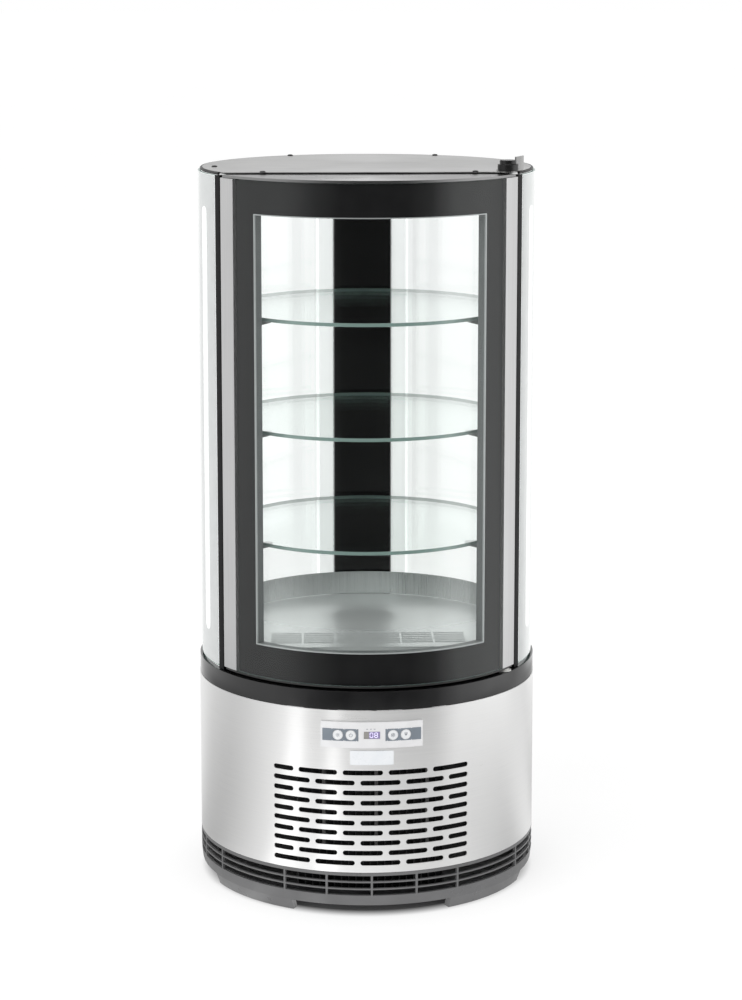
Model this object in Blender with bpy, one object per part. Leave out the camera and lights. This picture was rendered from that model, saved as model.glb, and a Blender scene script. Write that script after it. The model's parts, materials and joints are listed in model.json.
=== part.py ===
"""Round counter-top refrigerated display case with a curved glass door, metres, +Z up, front at -Y.

The origin is on the surface the case stands on, on the axis of its round body.
Angles are in degrees, counted from the front (-Y) towards the right (+X).
"""
import math

import bmesh
import bpy
from mathutils import Matrix, Vector

for old in list(bpy.data.objects):
    bpy.data.objects.remove(old, do_unlink=True)

# Clearances shared by all pieces
seat_gap = 0.0003
running_gap = 0.0020
cut_overrun = 0.0010
weld_distance = 0.00001
plate_steps = 72
plan_steps = 48
shell_steps = 32
pin_steps = 28
motor_steps = 24
hub_steps = 20
button_steps = 16

# Base ring with its air grille and feet
drum_radius = 0.2250
foot_drop = 0.0144
skirt_height = 0.0137
air_row_height = 0.0072
air_rib_height = 0.0022
air_rows = 3
base_rim_height = 0.0045
base_wall = 0.0040
foot_wall = 0.0110
foot_draw = 0.0070
foot_centre = 46.5
foot_half_width = 19.0
divider_step = 15.0
divider_half_width = 0.35
open_bays = (45.0, 135.0)
base_step = 5.0
pan_drop = 0.0062
pan_thickness = 0.0020
pan_setback = 0.0200

# Stainless drum
drum_height = 0.2148
drum_wall = 0.0012
slot_rows = 10
slot_pitch_height = 0.01334
slot_height = 0.0057
slot_length = 0.0538
slot_web = 0.0071
short_slot_share = 0.5
slots_in_row = 4
slot_field_top = 0.0792
ring_step = 4.0
glass_step = 3.6
rear_slot_rows = 4
rear_field_top = 0.0800

# Black belt between drum and glass
belt_height = 0.0245
belt_inset = 0.0005
belt_depth = 0.0250

# Fixed glass cabinet
glass_setback = 0.00335
pane_thickness = 0.0040
glazing_depth = 0.0216
glass_height = 0.6477
post_edge = 62.9
glazing_gap_angle = 0.3
column_half_angle = 11.3
window_sill = 0.0485
window_header = 0.0475
glazing_border_angle = 5.6
spacer_edge_gap = 0.0040

# Cabinet front and door
hinge_to_seat = 0.0140
gasket_thickness = 0.0080
gasket_width = 0.0125
gasket_bar_height = 0.0120
strip_foot_width = 0.0063
hinge_angle = 54.9
hinge_inset = 0.0060
hinge_pin_radius = 0.0030
hinge_pin_gap = 0.0001
door_lip = 59.0
door_strip_inner = 51.6
door_lip_thickness = 0.0030
door_gap = 0.0035
door_cap_thickness = 0.0034
door_sole_thickness = 0.0020
door_window_half = 42.3
door_window_sill = 0.0450
door_window_header = 0.0459
door_rail_height = 0.0212
door_header_height = 0.0305
door_spacer_wall = 0.0016
door_swing_clearance = 0.0013

# Cold deck
tub_drop = 0.0320
tub_wall = 0.0120
deck_height = 0.0295
deck_thickness = 0.0012
vent_depth = 0.0800
vent_sill = 0.0130
vent_side_margin = 0.0150
vent_bar_pitch = 0.0096
vent_bar_slot = 0.0056
vent_divider_pitch = 0.0433
vent_divider_width = 0.0030
kick_height = 0.0320
kick_thickness = 0.0012
kick_inset = 0.0040
kick_start = 68.0

# Shelves
shelf_setback = 0.01505
shelf_thickness = 0.0050
shelf_edge_gap = 0.0005
first_shelf_height = 0.1440
shelf_spacing = 0.1470
shelf_count = 3
bracket_height = 0.0100
bracket_width = 0.0120
bracket_reach = 0.0245
bracket_nose_height = 0.0040
bracket_setback = 0.0040
rear_ledge_overlap = 0.0100

# Lamps beside the posts
lamp_shelf_gap = 0.0015
lamp_glass_gap = 0.0010
lamp_depth = 0.0080
lamp_end_gap = 0.0070

# Top
housing_height = 0.0430
ceiling_thickness = 0.0030
top_plate_thickness = 0.0015
top_plate_setback = 0.00565
top_plate_overhang = 0.0020
hinge_plate_thickness = 0.0016
hinge_flange_height = 0.0169
hinge_flange_thickness = 0.0020
hinge_flange_setback = 0.00365
hinge_flange_start = 59.5
hinge_flange_end = 66.3
hinge_plate_nose = 0.0120
hinge_cap_radius = 0.0134
hinge_cap_height = 0.0086
hinge_cap_top_radius = 0.0107
hinge_cap_top_height = 0.0052
hinge_pin_length = 0.0150
lower_flange_radius = 0.0095
lower_flange_thickness = 0.0012
bushing_radius = 0.0062

# Control panel
panel_width = 0.1324
panel_height = 0.0338
panel_drop = 0.0145
panel_thickness = 0.0022
controller_gap = 0.0008
button_radius = 0.00645
button_gap = 0.0003
button_proud = 0.0006
button_travel = 0.0006
button_inner_offset = 0.0270
button_spacing = 0.0167
button_names = ("button_lamp", "button_defrost", "button_down", "button_up")
button_cell = 0.0080
display_half_width = 0.0105
display_height = 0.0096
display_recess = 0.0006
controller_width = 0.0800
controller_height = 0.0280
controller_depth = 0.0350

# Refrigeration set
compressor_radius = 0.0580
compressor_height = 0.1500
compressor_foot_radius = 0.0680
compressor_foot_height = 0.0080
compressor_dome_share = 0.2
compressor_offset = 0.0450
compressor_back_room = 0.0500
condenser_width = 0.1900
condenser_height = 0.1900
condenser_depth = 0.0360
condenser_pan_gap = 0.0012
condenser_fin_pitch = 0.0095
condenser_fin_thickness = 0.0012
condenser_core_depth = 0.0140
shroud_depth = 0.0200
shroud_wall = 0.0020
fan_radius = 0.0620
fan_gap = 0.0030
fan_hub_radius = 0.0170
fan_blades = 5
fan_blade_thickness = 0.0016
fan_blade_pitch = 28.0
blade_root_share = 0.5
blade_chord_share = 0.6
blade_tip_share = 0.95
fan_hub_thickness = 0.0140
motor_radius = 0.0220
motor_length = 0.0360
motor_arm_width = 0.0080
motor_arm_thickness = 0.0060
motor_arm_overlap = 0.0010
evaporator_size = (0.1500, 0.0450, 0.0300)
evaporator_behind_vent = 0.0900
evaporator_fan_radius = 0.0450
evaporator_fan_under_vent = 0.0100
evaporator_motor_radius = 0.0160
evaporator_motor_height = 0.0100
evaporator_hub_thickness = 0.0120
evaporator_hub_radius = 0.0120
gland_radius = 0.0090
gland_collar_length = 0.0120
gland_flange_radius = 0.0130
gland_bore_radius = 0.0040
gland_height = 0.0300
gland_hole_radius = 0.0093

# Levels worked out from the sizes above, from the ground up
grille_height = air_rows * air_row_height + (air_rows - 1) * air_rib_height
base_top = foot_drop + skirt_height + grille_height + base_rim_height
drum_bottom = base_top + seat_gap
drum_top = drum_bottom + drum_height
belt_bottom = drum_top + seat_gap
belt_top = belt_bottom + belt_height
cabinet_bottom = belt_top + seat_gap
glass_bottom = belt_top + door_gap
glass_top = cabinet_bottom + glass_height
deck_top = belt_top + deck_height
window_bottom = belt_top + window_sill
window_top = glass_top - window_header
door_bottom = glass_bottom
door_leaf_bottom = door_bottom + door_sole_thickness + seat_gap
door_cap_bottom = glass_top - door_cap_thickness / 2
door_top = door_cap_bottom + door_cap_thickness
door_leaf_top = door_cap_bottom - seat_gap
door_window_bottom = door_bottom + door_window_sill
door_window_top = glass_top - door_window_header
plate_bottom = door_top + running_gap / 2
plate_top = plate_bottom + top_plate_thickness

# Radii and plan positions worked out from the sizes above
glass_radius = drum_radius - glass_setback
pan_radius = drum_radius - pan_setback
top_plate_radius = glass_radius - top_plate_setback
hinge_flange_radius = glass_radius - hinge_flange_setback
inner_glass_radius = glass_radius - glazing_depth
shelf_radius = inner_glass_radius - shelf_setback
outer_pane_inside = glass_radius - pane_thickness
inner_pane_outside = inner_glass_radius + pane_thickness
cabinet_radius = inner_glass_radius - 2 * seat_gap
hinge_radius = glass_radius - hinge_inset
hinge_x = hinge_radius * math.sin(math.radians(hinge_angle))
hinge_y = -hinge_radius * math.cos(math.radians(hinge_angle))
seat_plane = -hinge_y - hinge_to_seat
door_back = seat_plane + gasket_thickness
frame_opening = inner_glass_radius * math.sin(math.radians(door_strip_inner)) - strip_foot_width
vent_front_line = seat_plane - vent_depth
vent_near_line = seat_plane - vent_sill
column_edge = 180 - column_half_angle


def polar(radius, degrees):
    """Plan point at a radius and an angle from the front."""
    turn = math.radians(degrees)
    return radius * math.sin(turn), -radius * math.cos(turn)


def plan_arc(radius, start, end, steps):
    """Plan points along an arc about the case's axis."""
    return [polar(radius, start + (end - start) * step / steps) for step in range(steps + 1)]


def arc_about(centre, radius, start, end, steps):
    """Plan points along an arc about any centre, angles from +X."""
    points = []
    for step in range(steps + 1):
        turn = math.radians(start + (end - start) * step / steps)
        points.append((centre[0] + radius * math.cos(turn), centre[1] + radius * math.sin(turn)))
    return points


def mirrored(outline):
    """The same plan outline on the other side of the case."""
    return [(-x, y) for x, y in reversed(outline)]


def spread(start, end, longest):
    """Even stops from start to end, no further apart than longest."""
    steps = max(1, math.ceil((end - start) / longest - weld_distance))
    return [start + (end - start) * step / steps for step in range(steps + 1)]


def finish(name, colour, roughness, metallic=0.0, transmission=0.0):
    """Principled material of one piece."""
    surface = bpy.data.materials.new(name)
    surface.use_nodes = True
    shader = surface.node_tree.nodes["Principled BSDF"]
    shader.inputs["Base Color"].default_value = (*colour, 1.0)
    shader.inputs["Roughness"].default_value = roughness
    shader.inputs["Metallic"].default_value = metallic
    shader.inputs["Transmission Weight"].default_value = transmission
    surface.diffuse_color = (*colour, 1.0)
    return surface


def steel(name):
    return finish(name, (0.72, 0.72, 0.71), 0.32, 1.0)


def black_plastic(name):
    return finish(name, (0.03, 0.03, 0.03), 0.35)


def clear_glass(name):
    return finish(name, (0.86, 0.95, 0.92), 0.03, 0.0, 1.0)


def white_plastic(name):
    return finish(name, (0.80, 0.80, 0.78), 0.40)


def piece(name, mesh, surface, origin=(0.0, 0.0, 0.0), holder=None):
    """Object from a bmesh given in world places, with its origin on its own joint or seat."""
    bmesh.ops.recalc_face_normals(mesh, faces=mesh.faces)
    mesh.transform(Matrix.Translation(-Vector(origin)))
    data = bpy.data.meshes.new(name)
    mesh.to_mesh(data)
    mesh.free()
    data.shade_smooth()
    data.set_sharp_from_angle(angle=math.radians(30))
    data.materials.append(surface)
    made = bpy.data.objects.new(name, data)
    bpy.context.collection.objects.link(made)
    made.location = origin
    if holder:
        made.parent = holder
        made.location = Vector(origin) - holder.location
    return made


def joint_marker(name, place):
    """Empty on a joint's axis that carries the pieces of a moving body."""
    marker = bpy.data.objects.new(name, None)
    marker.location = place
    bpy.context.collection.objects.link(marker)
    return marker


def sheet_solid(faces, place, full_turn=False):
    """Closed solid grown from flat (u, v) faces; place(u, v, side) gives its inner and outer skins."""
    if full_turn:
        first = min(u for loop in faces for u, _ in loop)
        faces = [[(first if abs(u - first - 360) < weld_distance else u, v) for u, v in loop]
                 for loop in faces]
    faces = with_shared_corners(faces)
    mesh = bmesh.new()
    flat = mesh.verts.layers.float_vector.new("flat")
    known = {}
    for loop in faces:
        corners = []
        for u, v in loop:
            key = corner_key(u, v)
            if key not in known:
                known[key] = mesh.verts.new(place(u, v, 1))
                known[key][flat] = (u, v, 0.0)
            corners.append(known[key])
        mesh.faces.new(corners)
    grown = bmesh.ops.extrude_face_region(mesh, geom=list(mesh.faces), use_keep_orig=True)
    for item in grown["geom"]:
        if isinstance(item, bmesh.types.BMVert):
            u, v, _ = item[flat]
            item.co = place(u, v, 0)
    return mesh


def corner_key(u, v):
    return round(u, 5), round(v, 7)


def with_shared_corners(faces):
    """Adds to each face the corners of its neighbours that lie on its level and upright edges."""
    on_column = {}
    on_row = {}
    for loop in faces:
        for u, v in loop:
            key = corner_key(u, v)
            on_column.setdefault(key[0], {})[key[1]] = (u, v)
            on_row.setdefault(key[1], {})[key[0]] = (u, v)
    mended = []
    for loop in faces:
        longer = []
        for start, end in zip(loop, loop[1:] + loop[:1]):
            longer.append(start)
            first, last = corner_key(*start), corner_key(*end)
            if first[0] == last[0]:
                low, high = sorted((first[1], last[1]))
                between = [item for item in on_column[first[0]].items() if low < item[0] < high]
                between.sort(reverse=first[1] > last[1])
            elif first[1] == last[1] and abs(first[0] - last[0]) < 180:
                low, high = sorted((first[0], last[0]))
                between = [item for item in on_row[first[1]].items() if low < item[0] < high]
                between.sort(reverse=first[0] > last[0])
            else:
                between = []
            longer.extend(point for _, point in between)
        mended.append(longer)
    return mended


def cells(stops, levels, kept=None):
    """Rectangular faces between stops and levels; kept(u, v) says which ones are there."""
    faces = []
    for left, right in zip(stops, stops[1:]):
        for low, high in zip(levels, levels[1:]):
            if kept is None or kept((left + right) / 2, (low + high) / 2):
                faces.append([(left, low), (right, low), (right, high), (left, high)])
    return faces


def holed_cell(left, right, low, high, hole, columns, rows):
    """Faces between a rectangle and the closed hole inside it, one hole point for each edge point."""
    rim = []
    for step in range(columns):
        rim.append((left + (right - left) * step / columns, low))
    for step in range(rows):
        rim.append((right, low + (high - low) * step / rows))
    for step in range(columns):
        rim.append((right - (right - left) * step / columns, high))
    for step in range(rows):
        rim.append((left, high - (high - low) * step / rows))
    faces = []
    for index, corner in enumerate(rim):
        following = (index + 1) % len(rim)
        faces.append([corner, rim[following], hole[following], hole[index]])
    return faces


def round_end_slot(centre_u, centre_v, half_length, half_height, u_per_metre, columns):
    """Slot outline with half-round ends, to match a rectangle with four rows at its sides."""
    straight = half_length - half_height * u_per_metre
    points = []
    for side in (1, -1):
        for step in range(columns):
            share = 1 - 2 * step / columns
            points.append((centre_u - side * straight * share, centre_v - side * half_height))
        for step in range(4):
            turn = math.radians(-90 + 45 * step)
            reach = straight + half_height * math.cos(turn) * u_per_metre
            points.append((centre_u + side * reach, centre_v + side * half_height * math.sin(turn)))
    return points


def round_hole(centre_u, centre_v, radius, u_per_metre, columns, rows):
    """Round outline whose points match the edge points of the rectangle round it."""
    count = 2 * (columns + rows)
    points = []
    for index in range(count):
        turn = math.radians(225 + 360 * index / count)
        points.append((centre_u + radius * math.cos(turn) * u_per_metre,
                       centre_v + radius * math.sin(turn)))
    return points


def wrapped(outer, inner):
    """Place function that wraps (angle, height) faces round the case between two radii."""
    def place(u, v, side):
        x, y = polar(outer if side else inner, u)
        return Vector((x, y, v))
    return place


def prism(outline, bottom, top):
    """Upright solid over a plan outline."""
    def place(u, v, side):
        return Vector((u, v, top if side else bottom))
    mesh = bmesh.new()
    corners = [mesh.verts.new(place(u, v, 0)) for u, v in outline]
    base = mesh.faces.new(corners)
    grown = bmesh.ops.extrude_face_region(mesh, geom=[base], use_keep_orig=True)
    for item in grown["geom"]:
        if isinstance(item, bmesh.types.BMVert):
            item.co.z = top
    return mesh


def box(low, high):
    """Upright block between two corners."""
    outline = [(low[0], low[1]), (high[0], low[1]), (high[0], high[1]), (low[0], high[1])]
    return prism(outline, low[2], high[2])


def turned(profile, steps, centre=(0.0, 0.0, 0.0), axis=(0.0, 0.0, 1.0)):
    """Solid of revolution of a (radius, height) profile that starts and ends on its axis or closes."""
    mesh = bmesh.new()
    points = [mesh.verts.new((radius, 0.0, height)) for radius, height in profile]
    pairs = list(zip(points, points[1:]))
    if profile[0][0] > 0:
        pairs.append((points[-1], points[0]))
    edges = [mesh.edges.new(pair) for pair in pairs]
    bmesh.ops.spin(mesh, geom=points + edges, cent=(0, 0, 0), axis=(0, 0, 1),
                   angle=math.tau, steps=steps, use_duplicate=False)
    bmesh.ops.remove_doubles(mesh, verts=mesh.verts, dist=weld_distance)
    turn = Vector((0.0, 0.0, 1.0)).rotation_difference(Vector(axis)).to_matrix().to_4x4()
    mesh.transform(Matrix.Translation(centre) @ turn)
    return mesh


def hidden_change(target, mesh, operation, label):
    """Cuts a hidden shape out of a piece, or joins it on."""
    shape = piece(f"{target.name}_{label}", mesh, target.data.materials[0])
    shape.hide_render = True
    shape.display_type = "WIRE"
    change = target.modifiers.new(label, "BOOLEAN")
    change.operation = operation
    change.solver = "EXACT"
    change.object = shape


def bore(target, radius, bottom, top, x, y, label="bore"):
    """Upright round hole."""
    mesh = turned([(0, bottom), (radius, bottom), (radius, top), (0, top)], pin_steps, (x, y, 0))
    hidden_change(target, mesh, "DIFFERENCE", label)


# Base ring: grille rows, dividers and four drawn-in foot skirts in one moulding
def foot_offset(angle):
    """Angle from the nearest foot's middle."""
    across = abs(angle) if abs(angle) <= 90 else 180 - abs(angle)
    return abs(across - foot_centre)


def base_stops():
    feet = []
    for middle in (foot_centre, 180 - foot_centre):
        for side in (-1, 1):
            feet += [side * (middle - foot_half_width), side * (middle + foot_half_width)]
    dividers = []
    turn = -180.0
    while turn < 180:
        dividers += [turn - divider_half_width, turn + divider_half_width]
        turn += divider_step
    marks = sorted({round(mark, 4) for mark in feet + dividers + [180 - divider_half_width]})
    marks = [mark for mark in marks if -180 + divider_half_width <= mark <= 180 - divider_half_width]
    stops = []
    for low, high in zip(marks, marks[1:]):
        stops += spread(low, high, base_step)[:-1]
    stops.append(marks[-1])
    stops.append(180 + divider_half_width)
    return stops


def base_levels():
    levels = [0.0, foot_drop, foot_drop + skirt_height]
    for row in range(air_rows):
        levels.append(levels[-1] + air_row_height)
        if row < air_rows - 1:
            levels.append(levels[-1] + air_rib_height)
    levels.append(base_top)
    return levels


def base_kept(angle, height):
    if height < foot_drop:
        return foot_offset(angle) < foot_half_width
    grille_bottom = foot_drop + skirt_height
    if height < grille_bottom or height > grille_bottom + grille_height:
        return True
    row_step = air_row_height + air_rib_height
    in_rib = (height - grille_bottom) % row_step > air_row_height
    nearest = round(angle / divider_step) * divider_step
    on_divider = abs(angle - nearest) < divider_half_width
    return in_rib or (on_divider and abs(nearest) not in open_bays)


def base_radii(height):
    """Outer and inner radius of the ring at a height; the feet are drawn in and thicker."""
    skirt_top = foot_drop + skirt_height
    drawn = max(0.0, 1 - height / skirt_top)
    outer = drum_radius - foot_draw * drawn ** 2
    wall = base_wall + (foot_wall - base_wall) * min(1.0, drawn * skirt_top / foot_drop)
    return outer, outer - wall


def base_place(angle, height, side):
    x, y = polar(base_radii(height)[0 if side else 1], angle)
    return Vector((x, y, height))


base_faces = cells(base_stops(), base_levels(), base_kept)
piece("base_ring", sheet_solid(base_faces, base_place, True), black_plastic("Base plastic"))

# Base pan: steel floor of the machine room, hung in the ring by its flange
pan_bottom = foot_drop - pan_drop
pan_top = pan_bottom + pan_thickness
pan_flange_bottom = foot_drop + skirt_height - pan_thickness
pan_flange_top = pan_flange_bottom + pan_thickness
pan_flange_radius = base_radii(pan_flange_bottom)[1] - 2 * seat_gap
pan_profile = [(0, pan_bottom), (pan_radius, pan_bottom), (pan_radius, pan_flange_bottom),
               (pan_flange_radius, pan_flange_bottom), (pan_flange_radius, pan_flange_top),
               (pan_radius - pan_thickness, pan_flange_top), (pan_radius - pan_thickness, pan_top),
               (0, pan_top)]
piece("base_pan", turned(pan_profile, plate_steps), finish("Galvanised pan", (0.10, 0.10, 0.11), 0.5, 0.6),
      (0, 0, pan_bottom))


# Drum: rolled stainless sheet with the brick-pattern slot grid in front and vents behind
drum_degrees = math.degrees(1 / drum_radius)
slot_pitch = (slot_length + slot_web) * drum_degrees
field_half = slot_pitch * (slots_in_row + short_slot_share) / 2


def slot_row(bottom, first, count, short_first):
    """One row of slots from the angle first, with a shorter slot at its left or right end."""
    faces = []
    middle = bottom + slot_pitch_height / 2
    spans = [1.0] * count
    spans.insert(0 if short_first else count, short_slot_share)
    left = first
    for span in spans:
        right = left + slot_pitch * span
        half_length = (slot_pitch * span - slot_web * drum_degrees) / 2
        columns = round(2 * span)
        outline = round_end_slot((left + right) / 2, middle, half_length, slot_height / 2,
                                 drum_degrees, columns)
        faces += holed_cell(left, right, bottom, bottom + slot_pitch_height, outline, columns, 4)
        left = right
    return faces


def slot_field(centre, top, rows):
    faces = []
    for row in range(rows):
        bottom = top - (row + 1) * slot_pitch_height
        faces += slot_row(bottom, centre - field_half, slots_in_row, row % 2 == 0)
    return faces


front_top = drum_top - slot_field_top + slot_pitch_height / 2 - slot_height / 2
front_bottom = front_top - slot_rows * slot_pitch_height
rear_top = drum_top - rear_field_top
rear_bottom = rear_top - rear_slot_rows * slot_pitch_height
half_pitch = slot_pitch / 2
front_stops = [-field_half + half_pitch * step for step in range(slots_in_row * 2 + 1)] + [field_half]
rear_stops = [180 + stop for stop in front_stops]
side_stops = spread(field_half, 180 - field_half, ring_step)
far_stops = spread(180 + field_half, 360 - field_half, ring_step)
drum_faces = cells(front_stops, [drum_bottom, front_bottom]) + cells(front_stops, [front_top, drum_top])
drum_faces += cells(rear_stops, [drum_bottom, rear_bottom]) + cells(rear_stops, [rear_top, drum_top])
drum_faces += cells(side_stops, [drum_bottom, drum_top]) + cells(far_stops, [drum_bottom, drum_top])
drum_faces += slot_field(0.0, front_top, slot_rows) + slot_field(180.0, rear_top, rear_slot_rows)
drum = piece("drum_shell", sheet_solid(drum_faces, wrapped(drum_radius, drum_radius - drum_wall), True),
             steel("Brushed drum steel"))

# Bare gland at the back of the drum, where the supply lead would enter
gland_z = drum_bottom + gland_height
gland_hole = turned([(0, 0), (gland_hole_radius, 0), (gland_hole_radius, gland_collar_length),
                     (0, gland_collar_length)], hub_steps,
                    (0, drum_radius + cut_overrun - gland_collar_length, gland_z), (0, 1, 0))
hidden_change(drum, gland_hole, "DIFFERENCE", "gland_hole")
flange_start = gland_collar_length + seat_gap
gland_end = flange_start + panel_thickness
gland_profile = [(gland_bore_radius, 0), (gland_radius, 0), (gland_radius, flange_start),
                 (gland_flange_radius, flange_start), (gland_flange_radius, gland_end),
                 (gland_bore_radius, gland_end)]
gland_place = (0, drum_radius - gland_collar_length, gland_z)
piece("cable_gland", turned(gland_profile, hub_steps, gland_place, (0, 1, 0)), black_plastic("Gland plastic"),
      gland_place)


# Cabinet outline in plan: flat front with notches for the posts, round behind
def notch_line(gap):
    """Depth at which the posts end."""
    return -inner_glass_radius * math.cos(math.radians(post_edge)) + gap


def cabinet_outline(radius, gap, front):
    """Outline of the pieces that fill the cabinet's plan, with a gap to the posts."""
    notch_y = notch_line(gap)
    notch_turn = math.degrees(math.acos(-notch_y / radius))
    right = [(frame_opening - gap, -front), (frame_opening - gap, notch_y), polar(radius, notch_turn)]
    round_back = plan_arc(radius, notch_turn, 360 - notch_turn, plan_steps)[1:-1]
    return right + round_back + mirrored(right)


# Belt: black ring that closes the drum and carries the glass, open only where the cold tub hangs
belt_outer = drum_radius - belt_inset
belt_inner = belt_outer - belt_depth
belt_front = seat_plane + seat_gap
belt_corner = math.degrees(math.atan2(frame_opening, belt_front))
belt_notch = math.degrees(math.atan2(frame_opening, -notch_line(0)))
belt_shoulder = math.degrees(math.acos(-notch_line(0) / belt_inner))


def belt_hole_radius(angle):
    """Distance from the axis to the edge of the tub opening in the belt."""
    across = abs(angle) if abs(angle) <= 180 else 360 - abs(angle)
    turn = math.radians(across)
    if across <= belt_corner:
        return belt_front / math.cos(turn)
    if across <= belt_notch:
        return frame_opening / math.sin(turn)
    if across < belt_shoulder:
        return -notch_line(0) / math.cos(turn)
    return belt_inner


def belt_place(angle, share, side):
    hole = belt_hole_radius(angle)
    x, y = polar(hole + (belt_outer - hole) * share, angle)
    return Vector((x, y, belt_top if side else belt_bottom))


belt_half = spread(0, belt_corner, ring_step)[:-1] + [belt_corner, belt_notch]
belt_half += spread(belt_shoulder, 180, ring_step)
belt_stops = belt_half + [360 - stop for stop in reversed(belt_half[:-1])]
piece("belt_ring", sheet_solid(cells(belt_stops, [0, 1]), belt_place, True),
      black_plastic("Belt plastic"), (0, 0, belt_bottom))

# Insulated tub: open tray under the deck, flat in front where the door seals
tub_bottom = belt_top - tub_drop
tub_top = deck_top - deck_thickness - seat_gap
tub_floor = tub_bottom + tub_wall
tub_outer = belt_inner - seat_gap
tub = piece("insulation_tub", prism(cabinet_outline(tub_outer, seat_gap, seat_plane), tub_bottom, tub_top),
            white_plastic("Tub lining"), (0, 0, tub_bottom))
tub_cavity = prism(cabinet_outline(tub_outer - tub_wall, seat_gap + tub_wall, seat_plane - tub_wall),
                   tub_floor, tub_top + cut_overrun)
hidden_change(tub, tub_cavity, "DIFFERENCE", "cavity")

# Deck: stainless plate behind and an air grille in front of it
def deck_outline():
    """Round plate with a straight front edge."""
    turn = math.degrees(math.acos(vent_front_line / cabinet_radius))
    return plan_arc(cabinet_radius, turn, 360 - turn, plan_steps)


piece("deck_plate", prism(deck_outline(), deck_top - deck_thickness, deck_top),
      steel("Deck steel"), (0, 0, deck_top))

vent_dividers = math.floor(2 * (frame_opening - vent_side_margin) / vent_divider_pitch)
vent_right = vent_divider_pitch * vent_dividers / 2
vent_back = vent_front_line + seat_gap
vent_edge = frame_opening - seat_gap
vent_rows = math.floor((vent_near_line - vent_back) / vent_bar_pitch)
vent_lowest = -vent_back - vent_rows * vent_bar_pitch


def vent_kept(x, y):
    """Slats and dividers in the middle, plain sheet round them."""
    if abs(x) > vent_edge:
        return y > notch_line(seat_gap)
    if abs(x) > vent_right or y < vent_lowest:
        return True
    in_slot = (y - vent_lowest) % vent_bar_pitch < vent_bar_slot
    across = (x + vent_right) / vent_divider_pitch
    on_divider = abs(across - round(across)) * vent_divider_pitch < vent_divider_width / 2
    return on_divider or not in_slot


def vent_place(x, y, side):
    """Flat sheet whose outer columns reach out to the round wall of the cabinet."""
    if abs(x) > vent_edge + weld_distance:
        x = math.copysign(math.sqrt(cabinet_radius ** 2 - y ** 2), x)
    return Vector((x, y, deck_top if side else deck_top - deck_thickness))


def vent_faces():
    stops = [-cabinet_radius, -vent_edge]
    for index in range(vent_dividers + 1):
        middle = -vent_right + vent_divider_pitch * index
        stops += [middle - vent_divider_width / 2, middle + vent_divider_width / 2]
    stops += [vent_edge, cabinet_radius]
    levels = [-seat_plane, notch_line(seat_gap)]
    for row in range(vent_rows):
        levels.append(vent_lowest + row * vent_bar_pitch)
        levels.append(levels[-1] + vent_bar_slot)
    levels.append(-vent_back)
    return cells(stops, sorted(levels), vent_kept)


piece("deck_grille", sheet_solid(vent_faces(), vent_place), steel("Grille steel"),
      (0, -vent_near_line, deck_top))

# Kick ring: low inner wall round the back of the deck
kick_outer = cabinet_radius - kick_inset
kick_faces = cells(spread(kick_start, 360 - kick_start, ring_step), [deck_top + seat_gap, deck_top + kick_height])
piece("kick_ring", sheet_solid(kick_faces, wrapped(kick_outer, kick_outer - kick_thickness)),
      steel("Kick ring steel"))


# Posts at both sides of the door opening, with a hollow for the door's swinging corner
def post_outline():
    corner = Vector(polar(glass_radius, door_lip))
    sweep = (corner - Vector((hinge_x, hinge_y))).length + door_swing_clearance
    outer = glass_radius - seat_gap
    reach = (outer ** 2 + hinge_radius ** 2 - sweep ** 2) / (2 * outer * hinge_radius)
    outer_turn = hinge_angle + math.degrees(math.acos(reach))
    outer_corner = Vector(polar(outer, outer_turn))
    end = math.degrees(math.atan2(outer_corner.y - hinge_y, outer_corner.x - hinge_x))
    start = 180 - math.degrees(math.asin((-seat_plane - hinge_y) / sweep))
    hollow = arc_about((hinge_x, hinge_y), sweep, start, end, 8)
    back = polar(inner_glass_radius, post_edge)
    return ([(frame_opening, -seat_plane)] + hollow[:-1] + plan_arc(outer, outer_turn, post_edge, 2)
            + [back, (frame_opening, back[1])])


for side, post_shape in (("right", post_outline()), ("left", mirrored(post_outline()))):
    piece(side + "_post", prism(post_shape, cabinet_bottom, glass_top), black_plastic(side + " post plastic"),
          (0, -seat_plane, cabinet_bottom))

# Lamps: lit channels on the back of each post, between the shelves' edge and the glass
def lamp_outline():
    near = notch_line(seat_gap)
    inner = shelf_radius + lamp_shelf_gap
    outer = inner_glass_radius - lamp_glass_gap
    corners = []
    for radius, y in ((inner, near), (outer, near), (outer, near + lamp_depth), (inner, near + lamp_depth)):
        corners.append((math.sqrt(radius ** 2 - y ** 2), y))
    return corners


for side, lamp_shape in (("right", lamp_outline()), ("left", mirrored(lamp_outline()))):
    piece(side + "_lamp", prism(lamp_shape, deck_top + kick_height + lamp_end_gap, window_top - lamp_end_gap),
          white_plastic(side + " lamp lens"), (lamp_shape[0][0], lamp_shape[0][1], deck_top))


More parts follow.
